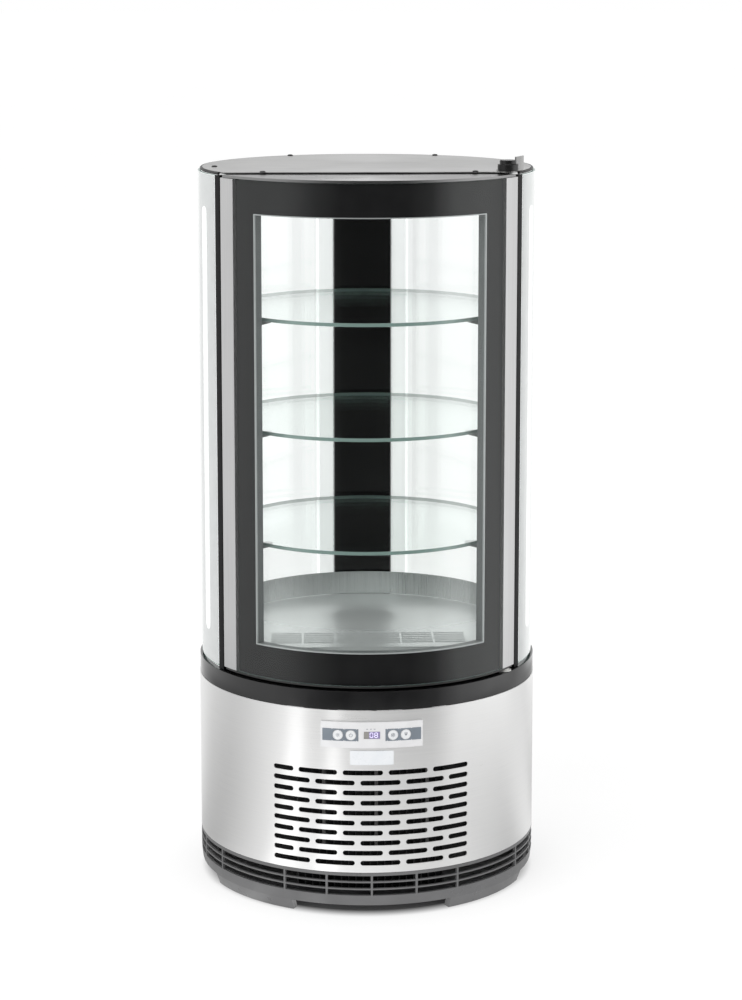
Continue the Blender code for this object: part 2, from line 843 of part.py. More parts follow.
# Side glazing: two curved panes kept apart by a spacer frame, one set for each side
glazing_start = post_edge + glazing_gap_angle
glazing_end = column_edge - glazing_gap_angle
sides = (("right", glazing_start, glazing_end), ("left", 360 - glazing_end, 360 - glazing_start))
for side, start, end in sides:
    wide = [glass_bottom, glass_top]
    piece(side + "_outer_pane", sheet_solid(cells(spread(start, end, glass_step), wide),
                                            wrapped(glass_radius, outer_pane_inside)),
          clear_glass(side + " outer glass"))
    piece(side + "_inner_pane", sheet_solid(cells(spread(start, end, glass_step), wide),
                                            wrapped(inner_pane_outside, inner_glass_radius)),
          clear_glass(side + " inner glass"))
    low_border = start + glazing_border_angle
    high_border = end - glazing_border_angle
    stops = [start] + spread(low_border, high_border, ring_step) + [end]
    levels = [cabinet_bottom, window_bottom, window_top, glass_top]

    def framed(u, v, low=low_border, high=high_border):
        return u < low or u > high or v < window_bottom or v > window_top

    piece(side + "_spacer", sheet_solid(cells(stops, levels, framed),
                                        wrapped(outer_pane_inside - seat_gap,
                                                inner_pane_outside + seat_gap)),
          finish(side + " spacer", (0.60, 0.60, 0.60), 0.4, 0.5))

# Rear column: black duct between the two side windows
column_faces = cells(spread(column_edge, 360 - column_edge, ring_step), [cabinet_bottom, glass_top])
column = piece("rear_column", sheet_solid(column_faces, wrapped(glass_radius - seat_gap, inner_glass_radius)),
               black_plastic("Column plastic"))

# Shelves: three round glass plates on brackets at the posts and the column
shelf_tops = [deck_top + first_shelf_height + shelf_spacing * index for index in range(shelf_count)]
bracket_y = -seat_plane + bracket_setback


def shelf_outline():
    """Round plate notched at both posts, which hold it in place."""
    notch_x = frame_opening - shelf_edge_gap
    notch_y = notch_line(shelf_edge_gap)
    front_turn = math.degrees(math.asin(notch_x / shelf_radius))
    back_turn = math.degrees(math.acos(-notch_y / shelf_radius))
    front = plan_arc(shelf_radius, -front_turn, front_turn, pin_steps)
    back = plan_arc(shelf_radius, back_turn, 360 - back_turn, plan_steps)
    return front + [(notch_x, notch_y)] + back + [(-notch_x, notch_y)]


def bracket_mesh(sign, top):
    """Wedge-shaped arm that carries the glass, deeper at the post."""
    root = frame_opening - seat_gap
    tip = root - bracket_reach
    outline = [(root, top), (tip, top), (tip, top - bracket_nose_height), (root, top - bracket_height)]
    mesh = bmesh.new()
    corners = [mesh.verts.new((sign * x, bracket_y, z)) for x, z in outline]
    grown = bmesh.ops.extrude_face_region(mesh, geom=[mesh.faces.new(corners)], use_keep_orig=True)
    for item in grown["geom"]:
        if isinstance(item, bmesh.types.BMVert):
            item.co.y = bracket_y + bracket_width
    return mesh


for number, top in enumerate(shelf_tops, 1):
    bottom = top - shelf_thickness
    piece(f"shelf_{number}", prism(shelf_outline(), bottom, top),
          clear_glass(f"Shelf {number} glass"), (0, 0, bottom))
    ledge_top = bottom - seat_gap
    for side, sign in (("right", 1), ("left", -1)):
        piece(f"{side}_bracket_{number}", bracket_mesh(sign, ledge_top),
              black_plastic(f"{side} bracket {number}"), (sign * frame_opening, bracket_y, ledge_top))
    ledge = box((-bracket_width / 2, shelf_radius - rear_ledge_overlap, ledge_top - bracket_nose_height),
                (bracket_width / 2, inner_glass_radius + glazing_depth / 2, ledge_top))
    hidden_change(column, ledge, "UNION", f"ledge_{number}")

# Top: insulated housing over the cold space, its ceiling and the screwed cover plate
housing_bottom = plate_bottom - seat_gap - housing_height
ceiling_top = housing_bottom - seat_gap
piece("top_housing", prism(cabinet_outline(cabinet_radius, seat_gap, seat_plane), housing_bottom,
                           plate_bottom - seat_gap),
      finish("Housing steel", (0.25, 0.25, 0.25), 0.5, 0.5), (0, 0, housing_bottom))
piece("ceiling_panel", prism(cabinet_outline(cabinet_radius, seat_gap, seat_plane), ceiling_top - ceiling_thickness,
                             ceiling_top),
      white_plastic("Ceiling plastic"), (0, 0, ceiling_top))


def chord_outline(radius, depth):
    """Round plate with a straight front edge."""
    turn = math.degrees(math.acos(depth / radius))
    return plan_arc(radius, turn, 360 - turn, plate_steps)


piece("top_plate", prism(chord_outline(top_plate_radius, seat_plane + top_plate_overhang), plate_bottom, plate_top),
      steel("Top plate steel"), (0, 0, plate_bottom))


# Upper hinge: bent steel bracket on the cover plate, with the pin and its black cap
def hinge_plate_outline():
    nose = arc_about((hinge_x, hinge_y), hinge_plate_nose, 180, 330, 10)
    edge = plan_arc(hinge_flange_radius - hinge_flange_thickness / 2, hinge_flange_start, hinge_flange_end, 4)
    return nose + edge + [(nose[0][0], edge[-1][1])]


hinge_plate_bottom = plate_top + seat_gap
hinge_plate_top = hinge_plate_bottom + hinge_plate_thickness
upper_bracket = piece("upper_hinge_bracket", prism(hinge_plate_outline(), hinge_plate_bottom, hinge_plate_top),
                      steel("Hinge steel"), (hinge_x, hinge_y, hinge_plate_bottom))
flange_faces = cells(spread(hinge_flange_start, hinge_flange_end, glass_step),
                     [hinge_plate_bottom + hinge_plate_thickness / 2, hinge_plate_top + hinge_flange_height])
flange_mesh = sheet_solid(flange_faces, wrapped(hinge_flange_radius, hinge_flange_radius - hinge_flange_thickness))
hidden_change(upper_bracket, flange_mesh, "UNION", "flange")
bore(upper_bracket, hinge_pin_radius + hinge_pin_gap, hinge_plate_bottom - cut_overrun,
     hinge_plate_top + cut_overrun, hinge_x, hinge_y)

cap_bottom = hinge_plate_top + seat_gap
cap_step = cap_bottom + hinge_cap_height
pin_bottom = door_top - hinge_pin_length
cap_profile = [(0, pin_bottom), (hinge_pin_radius, pin_bottom), (hinge_pin_radius, cap_bottom),
               (hinge_cap_radius, cap_bottom), (hinge_cap_radius, cap_step),
               (hinge_cap_top_radius, cap_step), (hinge_cap_top_radius, cap_step + hinge_cap_top_height),
               (0, cap_step + hinge_cap_top_height)]
piece("hinge_cap", turned(cap_profile, pin_steps, (hinge_x, hinge_y, 0)), black_plastic("Hinge cap plastic"),
      (hinge_x, hinge_y, cap_bottom))

# Lower hinge: plate on the belt with a plastic bushing and pin under the door's corner
lower_bottom = belt_top + seat_gap
lower_flange_top = lower_bottom + lower_flange_thickness
bushing_top = door_bottom - seat_gap
lower_pin_top = door_bottom + hinge_pin_length
lower_profile = [(0, lower_bottom), (lower_flange_radius, lower_bottom), (lower_flange_radius, lower_flange_top),
                 (bushing_radius, lower_flange_top), (bushing_radius, bushing_top),
                 (hinge_pin_radius, bushing_top), (hinge_pin_radius, lower_pin_top), (0, lower_pin_top)]
piece("lower_hinge_bushing", turned(lower_profile, pin_steps, (hinge_x, hinge_y, 0)), white_plastic("Bushing plastic"),
      (hinge_x, hinge_y, lower_bottom))

# Door: everything below turns about the hinge axis
door_axis = joint_marker("door_axis", (hinge_x, hinge_y, door_bottom))
door_place = (hinge_x, hinge_y, door_bottom)


def strip_outline():
    """Edge profile of the door: outer face, lip round its end and flat back for the gasket."""
    inner_lip = glass_radius - door_lip_thickness
    lip_turn = math.degrees(math.acos(door_back / inner_lip))
    foot = polar(inner_glass_radius, door_strip_inner)
    return (plan_arc(glass_radius, door_strip_inner, door_lip, 3) + [polar(inner_lip, door_lip)]
            + [polar(inner_lip, lip_turn), (frame_opening, -door_back), (frame_opening, foot[1]), foot])


def crescent(radius):
    """Plan shape between the door's flat back and its round front."""
    half_angle = math.degrees(math.acos(door_back / radius))
    return plan_arc(radius, -half_angle, half_angle, plan_steps)


strip_steel = "Door strip aluminium"
hinge_strip = piece("hinge_strip", prism(strip_outline(), door_leaf_bottom, door_leaf_top),
                    finish(strip_steel, (0.70, 0.70, 0.70), 0.35, 1.0), door_place, door_axis)
piece("handle_strip", prism(mirrored(strip_outline()), door_leaf_bottom, door_leaf_top),
      finish("Handle aluminium", (0.70, 0.70, 0.70), 0.35, 1.0), door_place, door_axis)

pin_bore = hinge_pin_radius + hinge_pin_gap
cap_plan = crescent(glass_radius - 2 * seat_gap)
door_cap = piece("door_top_cap", prism(cap_plan, door_cap_bottom, door_top),
                 steel("Door cap steel"), door_place, door_axis)
door_sole = piece("door_bottom_cap", prism(cap_plan, door_bottom, door_bottom + door_sole_thickness),
                  black_plastic("Door sole plastic"), door_place, door_axis)
bore(door_cap, pin_bore, door_cap_bottom - cut_overrun, door_top + cut_overrun, hinge_x, hinge_y)
bore(door_sole, pin_bore, door_bottom - cut_overrun, door_bottom + door_sole_thickness + cut_overrun,
     hinge_x, hinge_y)
bore(hinge_strip, pin_bore, pin_bottom - cut_overrun, door_leaf_top + cut_overrun, hinge_x, hinge_y)
bore(hinge_strip, pin_bore, door_leaf_bottom - cut_overrun, lower_pin_top + cut_overrun, hinge_x, hinge_y,
     "low_bore")

# Insulated rails that close the hollow of the door above and below
rail_radius = inner_glass_radius - seat_gap
rail_side = frame_opening - seat_gap


def rail_outline():
    turn = math.degrees(math.asin(rail_side / rail_radius))
    return plan_arc(rail_radius, -turn, turn, motor_steps) + [(rail_side, -door_back), (-rail_side, -door_back)]


piece("door_bottom_rail", prism(rail_outline(), door_leaf_bottom, door_leaf_bottom + door_rail_height),
      black_plastic("Lower rail plastic"), door_place, door_axis)
piece("door_top_rail", prism(rail_outline(), door_leaf_top - door_header_height, door_leaf_top),
      black_plastic("Upper rail plastic"), door_place, door_axis)

# Double glass of the door with the black frame and the bright spacer between the panes
pane_gap_angle = math.degrees(seat_gap / inner_glass_radius)
pane_edge = door_strip_inner - pane_gap_angle
door_stops = spread(-pane_edge, pane_edge, glass_step)
leaf = [door_leaf_bottom, door_leaf_top]
piece("door_outer_glass", sheet_solid(cells(door_stops, leaf), wrapped(glass_radius, outer_pane_inside)),
      clear_glass("Door outer glass"), door_place, door_axis)
piece("door_inner_glass", sheet_solid(cells(door_stops, leaf), wrapped(inner_pane_outside, inner_glass_radius)),
      clear_glass("Door inner glass"), door_place, door_axis)
between_panes = wrapped(outer_pane_inside - seat_gap, inner_pane_outside + seat_gap)


def window_frame(outer_half, outer_low, outer_high, inner_half, inner_low, inner_high):
    """Curved rectangular frame with one window."""
    stops = spread(-outer_half, -inner_half, ring_step)[:-1] + spread(-inner_half, inner_half, ring_step)
    stops += spread(inner_half, outer_half, ring_step)[1:]
    levels = [outer_low, inner_low, inner_high, outer_high]

    def kept(u, v):
        return abs(u) > inner_half or v < inner_low or v > inner_high

    return sheet_solid(cells(stops, levels, kept), between_panes)


spacer_angle = math.degrees(door_spacer_wall / inner_glass_radius)
gap_angle = math.degrees(seat_gap / inner_glass_radius)
piece("door_frame", window_frame(pane_edge, door_leaf_bottom, door_leaf_top, door_window_half + spacer_angle,
                                 door_window_bottom - door_spacer_wall, door_window_top + door_spacer_wall),
      black_plastic("Door frame black"), door_place, door_axis)
piece("door_spacer", window_frame(door_window_half + spacer_angle - gap_angle,
                                  door_window_bottom - door_spacer_wall + seat_gap,
                                  door_window_top + door_spacer_wall - seat_gap,
                                  door_window_half, door_window_bottom, door_window_top),
      finish("Spacer aluminium", (0.55, 0.56, 0.56), 0.35, 1.0), door_place, door_axis)


def gasket_mesh():
    """Rectangular magnetic seal on the flat back of the door."""
    outer = frame_opening + gasket_width + 2 * seat_gap
    inner = frame_opening + 2 * seat_gap
    low = door_leaf_bottom + running_gap
    high = door_leaf_top - running_gap
    levels = [low, low + gasket_bar_height, high - gasket_bar_height, high]

    def kept(x, z):
        return abs(x) > inner or z < levels[1] or z > levels[2]

    def place(x, z, side):
        return Vector((x, -door_back + seat_gap if side else -seat_plane - seat_gap, z))

    return sheet_solid(cells([-outer, -inner, inner, outer], levels, kept), place)


piece("door_gasket", gasket_mesh(), finish("Gasket rubber", (0.05, 0.05, 0.05), 0.7), door_place, door_axis)

# Control panel: curved membrane plate with four buttons and a display window
panel_top = drum_top - panel_drop
panel_bottom = panel_top - panel_height
panel_middle = (panel_top + panel_bottom) / 2
panel_inner = drum_radius + seat_gap
panel_outer = panel_inner + panel_thickness
panel_degrees = math.degrees(1 / panel_outer)
panel_half_angle = panel_width / 2 * panel_degrees
button_outer_offset = button_inner_offset + button_spacing
button_angles = [offset * panel_degrees for offset in (-button_outer_offset, -button_inner_offset,
                                                       button_inner_offset, button_outer_offset)]
cell_half = button_cell * panel_degrees
display_half = display_half_width * panel_degrees


def panel_mesh():
    faces = []
    low, high = panel_middle - button_cell, panel_middle + button_cell
    for angle in button_angles:
        hole = round_hole(angle, panel_middle, button_radius + button_gap, panel_degrees, 4, 4)
        faces += holed_cell(angle - cell_half, angle + cell_half, low, high, hole, 4, 4)
    edges = sorted([-panel_half_angle, panel_half_angle, -display_half, display_half]
                   + [angle - cell_half for angle in button_angles]
                   + [angle + cell_half for angle in button_angles])
    display_low = panel_middle - display_height / 2
    display_high = panel_middle + display_height / 2
    for left, right in zip(edges, edges[1:]):
        middle = (left + right) / 2
        for column in zip(spread(left, right, ring_step), spread(left, right, ring_step)[1:]):
            faces += cells(column, [panel_bottom, low]) + cells(column, [high, panel_top])
            if abs(middle) < display_half:
                faces += cells(column, [low, display_low]) + cells(column, [display_high, high])
            elif min(abs(middle - angle) for angle in button_angles) > cell_half / 2:
                faces += cells(column, [low, high])
    return sheet_solid(faces, wrapped(panel_outer, panel_inner))


piece("control_panel", panel_mesh(), finish("Panel silver", (0.62, 0.63, 0.64), 0.4, 0.3))
display_gap = button_gap * panel_degrees
display_faces = cells(spread(-display_half + display_gap, display_half - display_gap, glass_step),
                      [panel_middle - display_height / 2 + button_gap,
                       panel_middle + display_height / 2 - button_gap])
piece("display_window", sheet_solid(display_faces, wrapped(panel_outer - display_recess, panel_inner)),
      finish("Display plastic", (0.10, 0.09, 0.14), 0.2))

for name, angle in zip(button_names, button_angles):
    seat_x, seat_y = polar(panel_inner + button_travel, angle)
    face_x, face_y = polar(1.0, angle)
    length = panel_thickness + button_proud - button_travel
    button_mesh = turned([(0, 0), (button_radius, 0), (button_radius, length), (0, length)], button_steps,
                         (seat_x, seat_y, panel_middle), (face_x, face_y, 0))
    marker = joint_marker(name + "_axis", (seat_x, seat_y, panel_middle))
    piece(name, button_mesh, finish(name + " plastic", (0.85, 0.85, 0.85), 0.35),
          (seat_x, seat_y, panel_middle), marker)

# Controller behind the panel
controller_back_wall = drum_radius - drum_wall - controller_gap
controller_front = math.sqrt(controller_back_wall ** 2 - (controller_width / 2) ** 2)
controller_bottom = panel_middle - controller_height / 2
piece("controller_box", box((-controller_width / 2, -controller_front, controller_bottom),
                            (controller_width / 2, controller_depth - controller_front,
                             controller_bottom + controller_height)),
      black_plastic("Controller plastic"), (0, -controller_front, panel_middle))

# Condenser: finned block behind the slot grid
condenser_bottom = pan_top + seat_gap
condenser_reach = pan_radius - pan_thickness - condenser_pan_gap
condenser_front = math.sqrt(condenser_reach ** 2 - (condenser_width / 2) ** 2)
condenser_back = condenser_front - condenser_depth
core_front = condenser_back + condenser_core_depth
condenser_fins = math.floor(condenser_width / condenser_fin_pitch)


def condenser_outline():
    """Core with upright fins on its front."""
    right = condenser_width / 2
    outline = [(right, -condenser_back), (-right, -condenser_back)]
    for index in range(condenser_fins + 1):
        start = -right + (condenser_width - condenser_fin_thickness) * index / condenser_fins
        if index:
            outline.append((start, -core_front))
        outline.append((start, -condenser_front))
        outline.append((start + condenser_fin_thickness, -condenser_front))
        if index < condenser_fins:
            outline.append((start + condenser_fin_thickness, -core_front))
    return outline


piece("condenser", prism(condenser_outline(), condenser_bottom, condenser_bottom + condenser_height),
      finish("Condenser black", (0.04, 0.04, 0.05), 0.5, 0.6), (0, -condenser_back, condenser_bottom))

# Shroud behind the condenser, with the fan motor on its crossed arms
fan_z = condenser_bottom + condenser_height / 2
shroud_front = condenser_back - seat_gap
shroud_back = shroud_front - shroud_depth
fan_start = (shroud_front + shroud_back) / 2 + fan_hub_thickness / 2
motor_front = fan_start - fan_hub_thickness - seat_gap


def shroud_place(x, z, side):
    return Vector((x, -shroud_front if side else -shroud_back, fan_z + z))


shroud_hole = round_hole(0, 0, fan_radius + fan_gap, 1, 8, 8)
shroud_faces = holed_cell(-condenser_width / 2, condenser_width / 2, -condenser_height / 2,
                          condenser_height / 2, shroud_hole, 8, 8)
shroud = piece("condenser_shroud", sheet_solid(shroud_faces, shroud_place),
               finish("Shroud steel", (0.15, 0.15, 0.16), 0.5, 0.5), (0, -shroud_back, fan_z))
arm_reach = fan_radius + fan_gap + motor_arm_width
arm_end = motor_arm_thickness - shroud_back
level_arm = box((-arm_reach, -shroud_back - motor_arm_overlap, fan_z - motor_arm_width / 2),
                (arm_reach, arm_end, fan_z + motor_arm_width / 2))
hidden_change(shroud, level_arm, "UNION", "level_arm")
upright_arm = box((-motor_arm_width / 2, -shroud_back - motor_arm_overlap, fan_z - arm_reach),
                  (motor_arm_width / 2, arm_end, fan_z + arm_reach))
hidden_change(shroud, upright_arm, "UNION", "upright_arm")
motor_mesh = turned([(0, 0), (motor_radius, 0), (motor_radius, motor_length), (0, motor_length)], motor_steps,
                    (0, -motor_front, fan_z), (0, 1, 0))
hidden_change(shroud, motor_mesh, "UNION", "motor")


def fan_piece(name, radius, hub_radius, thickness, centre, axis, surface, holder):
    """Fan made of a hub with pitched blades joined on."""
    turn = Vector((0, 0, 1)).rotation_difference(Vector(axis)).to_matrix().to_4x4()
    place = Matrix.Translation(centre) @ turn
    hub = turned([(0, 0), (hub_radius, 0), (hub_radius, thickness), (0, thickness)], hub_steps, centre, axis)
    fan = piece(name, hub, surface, centre, holder)
    root = hub_radius * blade_root_share
    half_chord = hub_radius * blade_chord_share
    tip = radius * blade_tip_share
    outline = [(root, -half_chord), (tip, -hub_radius), (tip, half_chord), (root, half_chord)]
    for number in range(fan_blades):
        blade = prism(outline, -fan_blade_thickness / 2, fan_blade_thickness / 2)
        blade.transform(Matrix.Rotation(math.radians(fan_blade_pitch), 4, "X"))
        blade.transform(Matrix.Translation((0, 0, thickness / 2)))
        blade.transform(place @ Matrix.Rotation(math.tau * number / fan_blades, 4, "Z"))
        hidden_change(fan, blade, "UNION", f"blade_{number}")


# Condenser fan, turning about the depth axis inside the shroud
condenser_fan_place = (0, -fan_start, fan_z)
condenser_fan_axis = joint_marker("condenser_fan_axis", condenser_fan_place)
fan_piece("condenser_fan", fan_radius, fan_hub_radius, fan_hub_thickness, condenser_fan_place, (0, 1, 0),
          finish("Fan plastic", (0.05, 0.05, 0.05), 0.5), condenser_fan_axis)


# Compressor at the back of the pan
def compressor_profile():
    """Domed hermetic shell standing on a round foot plate."""
    bottom = condenser_bottom
    foot_top = bottom + compressor_foot_height
    top = bottom + compressor_height
    dome = compressor_height * compressor_dome_share
    points = [(0, bottom), (compressor_foot_radius, bottom), (compressor_foot_radius, foot_top),
              (compressor_radius, foot_top)]
    for step in range(5):
        turn = math.radians(18 * step)
        points.append((compressor_radius * math.cos(turn), top - dome * (1 - math.sin(turn))))
    return points + [(0, top)]


compressor_y = pan_radius - pan_thickness - compressor_back_room - compressor_foot_radius
piece("compressor", turned(compressor_profile(), shell_steps, (-compressor_offset, compressor_y, 0)),
      finish("Compressor black", (0.03, 0.03, 0.03), 0.4), (-compressor_offset, compressor_y, condenser_bottom))

# Evaporator and its fan inside the insulated tub
evaporator_bottom = tub_floor + seat_gap
evaporator_place = evaporator_behind_vent - vent_front_line
evaporator_fan_place = vent_front_line + evaporator_fan_under_vent
piece("evaporator", box((-evaporator_size[0] / 2, evaporator_place, evaporator_bottom),
                        (evaporator_size[0] / 2, evaporator_place + evaporator_size[1],
                         evaporator_bottom + evaporator_size[2])),
      finish("Evaporator aluminium", (0.70, 0.70, 0.72), 0.4, 1.0), (0, evaporator_place, evaporator_bottom))
small_motor_top = evaporator_bottom + evaporator_motor_height
small_motor = [(0, evaporator_bottom), (evaporator_motor_radius, evaporator_bottom),
               (evaporator_motor_radius, small_motor_top), (0, small_motor_top)]
piece("evaporator_motor", turned(small_motor, hub_steps, (0, -evaporator_fan_place, 0)),
      finish("Small motor plastic", (0.06, 0.06, 0.06), 0.5), (0, -evaporator_fan_place, evaporator_bottom))
small_fan_place = (0, -evaporator_fan_place, small_motor_top + seat_gap)
evaporator_fan_axis = joint_marker("evaporator_fan_axis", small_fan_place)
fan_piece("evaporator_fan", evaporator_fan_radius, evaporator_hub_radius, evaporator_hub_thickness,
          small_fan_place, (0, 0, 1), finish("Small fan plastic", (0.70, 0.70, 0.68), 0.4),
          evaporator_fan_axis)
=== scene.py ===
import json
import math

import bmesh
import bpy
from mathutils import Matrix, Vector


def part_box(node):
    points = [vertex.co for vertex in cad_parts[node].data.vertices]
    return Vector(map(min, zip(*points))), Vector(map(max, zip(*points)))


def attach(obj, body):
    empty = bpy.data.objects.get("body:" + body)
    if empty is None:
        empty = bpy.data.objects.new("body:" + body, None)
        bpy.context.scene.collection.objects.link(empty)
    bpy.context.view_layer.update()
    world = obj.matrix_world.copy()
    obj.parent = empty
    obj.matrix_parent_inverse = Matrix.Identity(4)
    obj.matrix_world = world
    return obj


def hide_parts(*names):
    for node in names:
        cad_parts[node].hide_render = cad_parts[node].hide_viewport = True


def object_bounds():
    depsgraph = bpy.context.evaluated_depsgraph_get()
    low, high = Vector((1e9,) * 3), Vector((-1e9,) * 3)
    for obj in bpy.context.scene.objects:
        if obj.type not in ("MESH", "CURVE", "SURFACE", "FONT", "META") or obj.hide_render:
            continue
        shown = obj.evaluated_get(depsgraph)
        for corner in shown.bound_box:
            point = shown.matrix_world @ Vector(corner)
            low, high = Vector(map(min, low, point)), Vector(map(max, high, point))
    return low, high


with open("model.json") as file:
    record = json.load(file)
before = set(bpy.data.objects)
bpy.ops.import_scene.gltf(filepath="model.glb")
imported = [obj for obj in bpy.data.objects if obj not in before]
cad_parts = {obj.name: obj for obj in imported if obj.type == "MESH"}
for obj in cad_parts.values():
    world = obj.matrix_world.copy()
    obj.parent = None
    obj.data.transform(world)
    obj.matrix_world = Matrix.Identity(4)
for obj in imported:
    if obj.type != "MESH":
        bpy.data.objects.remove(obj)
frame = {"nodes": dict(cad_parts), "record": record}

drawn_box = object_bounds()


# Base ring.
# One moulded ring of black plastic with three rows of air slots and four foot skirts.
# It comes out of the mould with a fine even grain, a little glossy where hands rub it.
def fill(node, inputs):
    """Gives a node its inputs: a socket is linked, anything else is the value."""
    for key, value in inputs.items():
        if isinstance(value, bpy.types.NodeSocket):
            node.id_data.links.new(value, node.inputs[key])
        else:
            node.inputs[key].default_value = value


def add_node(tree, kind, inputs, **settings):
    """A new node with its settings and its inputs."""
    node = tree.nodes.new(kind)
    for setting, value in settings.items():
        setattr(node, setting, value)
    fill(node, inputs)
    return node


def blank_finish(name):
    """A new material, its shader and its node tree."""
    surface = bpy.data.materials.new(name)
    surface.use_nodes = True
    return surface, surface.node_tree.nodes["Principled BSDF"], surface.node_tree


def place_on_case(tree, stretch=(1.0, 1.0, 1.0)):
    """Place on the case in metres, stretched for grain that runs one way."""
    place = add_node(tree, "ShaderNodeTexCoord", {}).outputs["Object"]
    return add_node(tree, "ShaderNodeMapping", {"Vector": place, "Scale": stretch}).outputs["Vector"]


def cloudy(tree, place, size, detail=3.0):
    """Soft random pattern; size is spots per metre before the stretch."""
    return add_node(tree, "ShaderNodeTexNoise",
                    {"Vector": place, "Scale": size, "Detail": detail}).outputs["Fac"]


def ranged(tree, value, low=0.0, high=1.0, first=0.35, last=0.65):
    """A pattern brought between two limits."""
    return add_node(tree, "ShaderNodeMapRange", {"Value": value, "From Min": first, "From Max": last,
                                                 "To Min": low, "To Max": high}).outputs["Result"]


def two_tone(tree, share, first, second):
    """Colour between two tones by a pattern."""
    return add_node(tree, "ShaderNodeMix", {0: share, 6: (*first, 1.0), 7: (*second, 1.0)},
                    data_type="RGBA").outputs[2]


def patches(tree, place, size, tone, shade):
    """Two tones that run into each other in soft patches."""
    return two_tone(tree, ranged(tree, cloudy(tree, place, size)), tone, shade)


def roughened(tree, shader, height, strength, distance):
    """Bump on a shader from a pattern."""
    bump = add_node(tree, "ShaderNodeBump", {"Strength": strength, "Distance": distance, "Height": height})
    fill(shader, {"Normal": bump.outputs["Normal"]})


def mottled(name, tone, shade, size, smooth, rough, spots):
    """A finish in two soft tones whose roughness wanders between two limits."""
    surface, shader, tree = blank_finish(name)
    place = place_on_case(tree)
    fill(shader, {"Base Color": patches(tree, place, size, tone, shade),
                  "Roughness": ranged(tree, cloudy(tree, place, spots), smooth, rough)})
    return surface, shader, tree, place


def moulded_plastic(name, tone, shade, roughness, grain=2200.0):
    surface, shader, tree, place = mottled(name, tone, shade, 14.0, roughness * 0.85, roughness * 1.2, 60.0)
    roughened(tree, shader, cloudy(tree, place, grain, 1.0), 0.35, 0.00004)
    return surface


def is_round(face, direction, centre):
    """Whether a face is one flat step of a round wall about the upright line through centre."""
    least_level, on_axis, same_way = 0.3, 0.001, 0.996
    level = Vector((direction.x, direction.y))
    if level.length < least_level:
        return False
    outward = Vector((face.x - centre[0], face.y - centre[1]))
    return outward.length > on_axis and abs(level.normalized().dot(outward.normalized())) > same_way


def corner_directions(data, eased, centre):
    """Shading direction of each corner: round walls turn evenly, eased edges run into their neighbours."""
    one_wall = 0.87
    directions = [None] * len(data.loops)
    walls = {}
    for face in data.polygons:
        if not eased[face.index]:
            for seat in face.vertices:
                walls.setdefault(seat, []).append(face)
    for face in data.polygons:
        for corner in face.loop_indices:
            seat = data.loops[corner].vertex_index
            near = walls.get(seat, [])
            lead = face
            if eased[face.index] and near:
                lead = max(near, key=lambda wall: wall.area)
            direction = Vector(lead.normal)
            if not eased[lead.index] and is_round(lead.center, lead.normal, centre):
                point = data.vertices[seat].co
                outward = Vector((point.x - centre[0], point.y - centre[1], 0.0)).normalized()
                level = math.hypot(direction.x, direction.y)
                sign = 1 if outward.x * direction.x + outward.y * direction.y > 0 else -1
                direction = outward * level * sign + Vector((0.0, 0.0, direction.z))
            else:
                total = Vector()
                for wall in near:
                    if wall.normal.dot(lead.normal) > one_wall:
                        total += wall.normal * wall.area
                if total.length > 0:
                    direction = total
            directions[corner] = direction.normalized()
    return directions


def evenly_shaded(name, mesh, surface, centre=(0.0, 0.0)):
    """Object from a bmesh with its round walls shaded round; the layer eased marks its eased edges."""
    data = bpy.data.meshes.new(name)
    mesh.to_mesh(data)
    mesh.free()
    eased = [entry.value for entry in data.attributes["eased"].data]
    data.attributes.remove(data.attributes["eased"])
    data.shade_smooth()
    data.normals_split_custom_set(corner_directions(data, eased, centre))
    data.materials.append(surface)
    made = bpy.data.objects.new(name, data)
    bpy.context.collection.objects.link(made)
    return made


def finished_piece(name, surface, edge=0.0004, centre=(0.0, 0.0), one_skin=False):
    """The CAD piece with its facets joined, its edges eased and its round walls shaded round."""
    weld, flat_degrees, crisp, upright = 0.000005, 0.3, 0.9, 0.1
    mesh = bmesh.new()
    mesh.from_mesh(frame["nodes"][name].data)
    bmesh.ops.remove_doubles(mesh, verts=mesh.verts, dist=weld)
    bmesh.ops.dissolve_limit(mesh, angle_limit=math.radians(flat_degrees), verts=mesh.verts,
                             edges=mesh.edges)
    mark = mesh.faces.layers.int.new("eased")
    seams = [seam for seam in mesh.edges if len(seam.link_faces) == 2 and seam.calc_face_angle() > crisp]
    if edge:
        grown = bmesh.ops.bevel(mesh, geom=seams, offset=edge, offset_type="OFFSET", segments=2,
                                profile=0.5, affect="EDGES", clamp_overlap=True)
        for face in grown["faces"]:
            face[mark] = 1
    if one_skin:
        inner = []
        for face in mesh.faces:
            way, middle = face.normal, face.calc_center_median()
            if (not face[mark] and abs(way.z) < upright and is_round(middle, way, centre)
                    and way.x * middle.x + way.y * middle.y < 0):
                inner.append(face)
        bmesh.ops.delete(mesh, geom=inner, context="FACES")
    bmesh.ops.triangulate(mesh, faces=[face for face in mesh.faces if len(face.verts) > 4])
    made = evenly_shaded(name + "_finished", mesh, surface, centre)
    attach(made, next(body for body, held in frame["record"]["behaviour"]["bodies"].items() if name in held))
    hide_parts(name)


base_plastic = moulded_plastic("base ring plastic", (0.125, 0.125, 0.127), (0.155, 0.155, 0.158), 0.32)
finished_piece("base_ring", base_plastic, 0.0005)


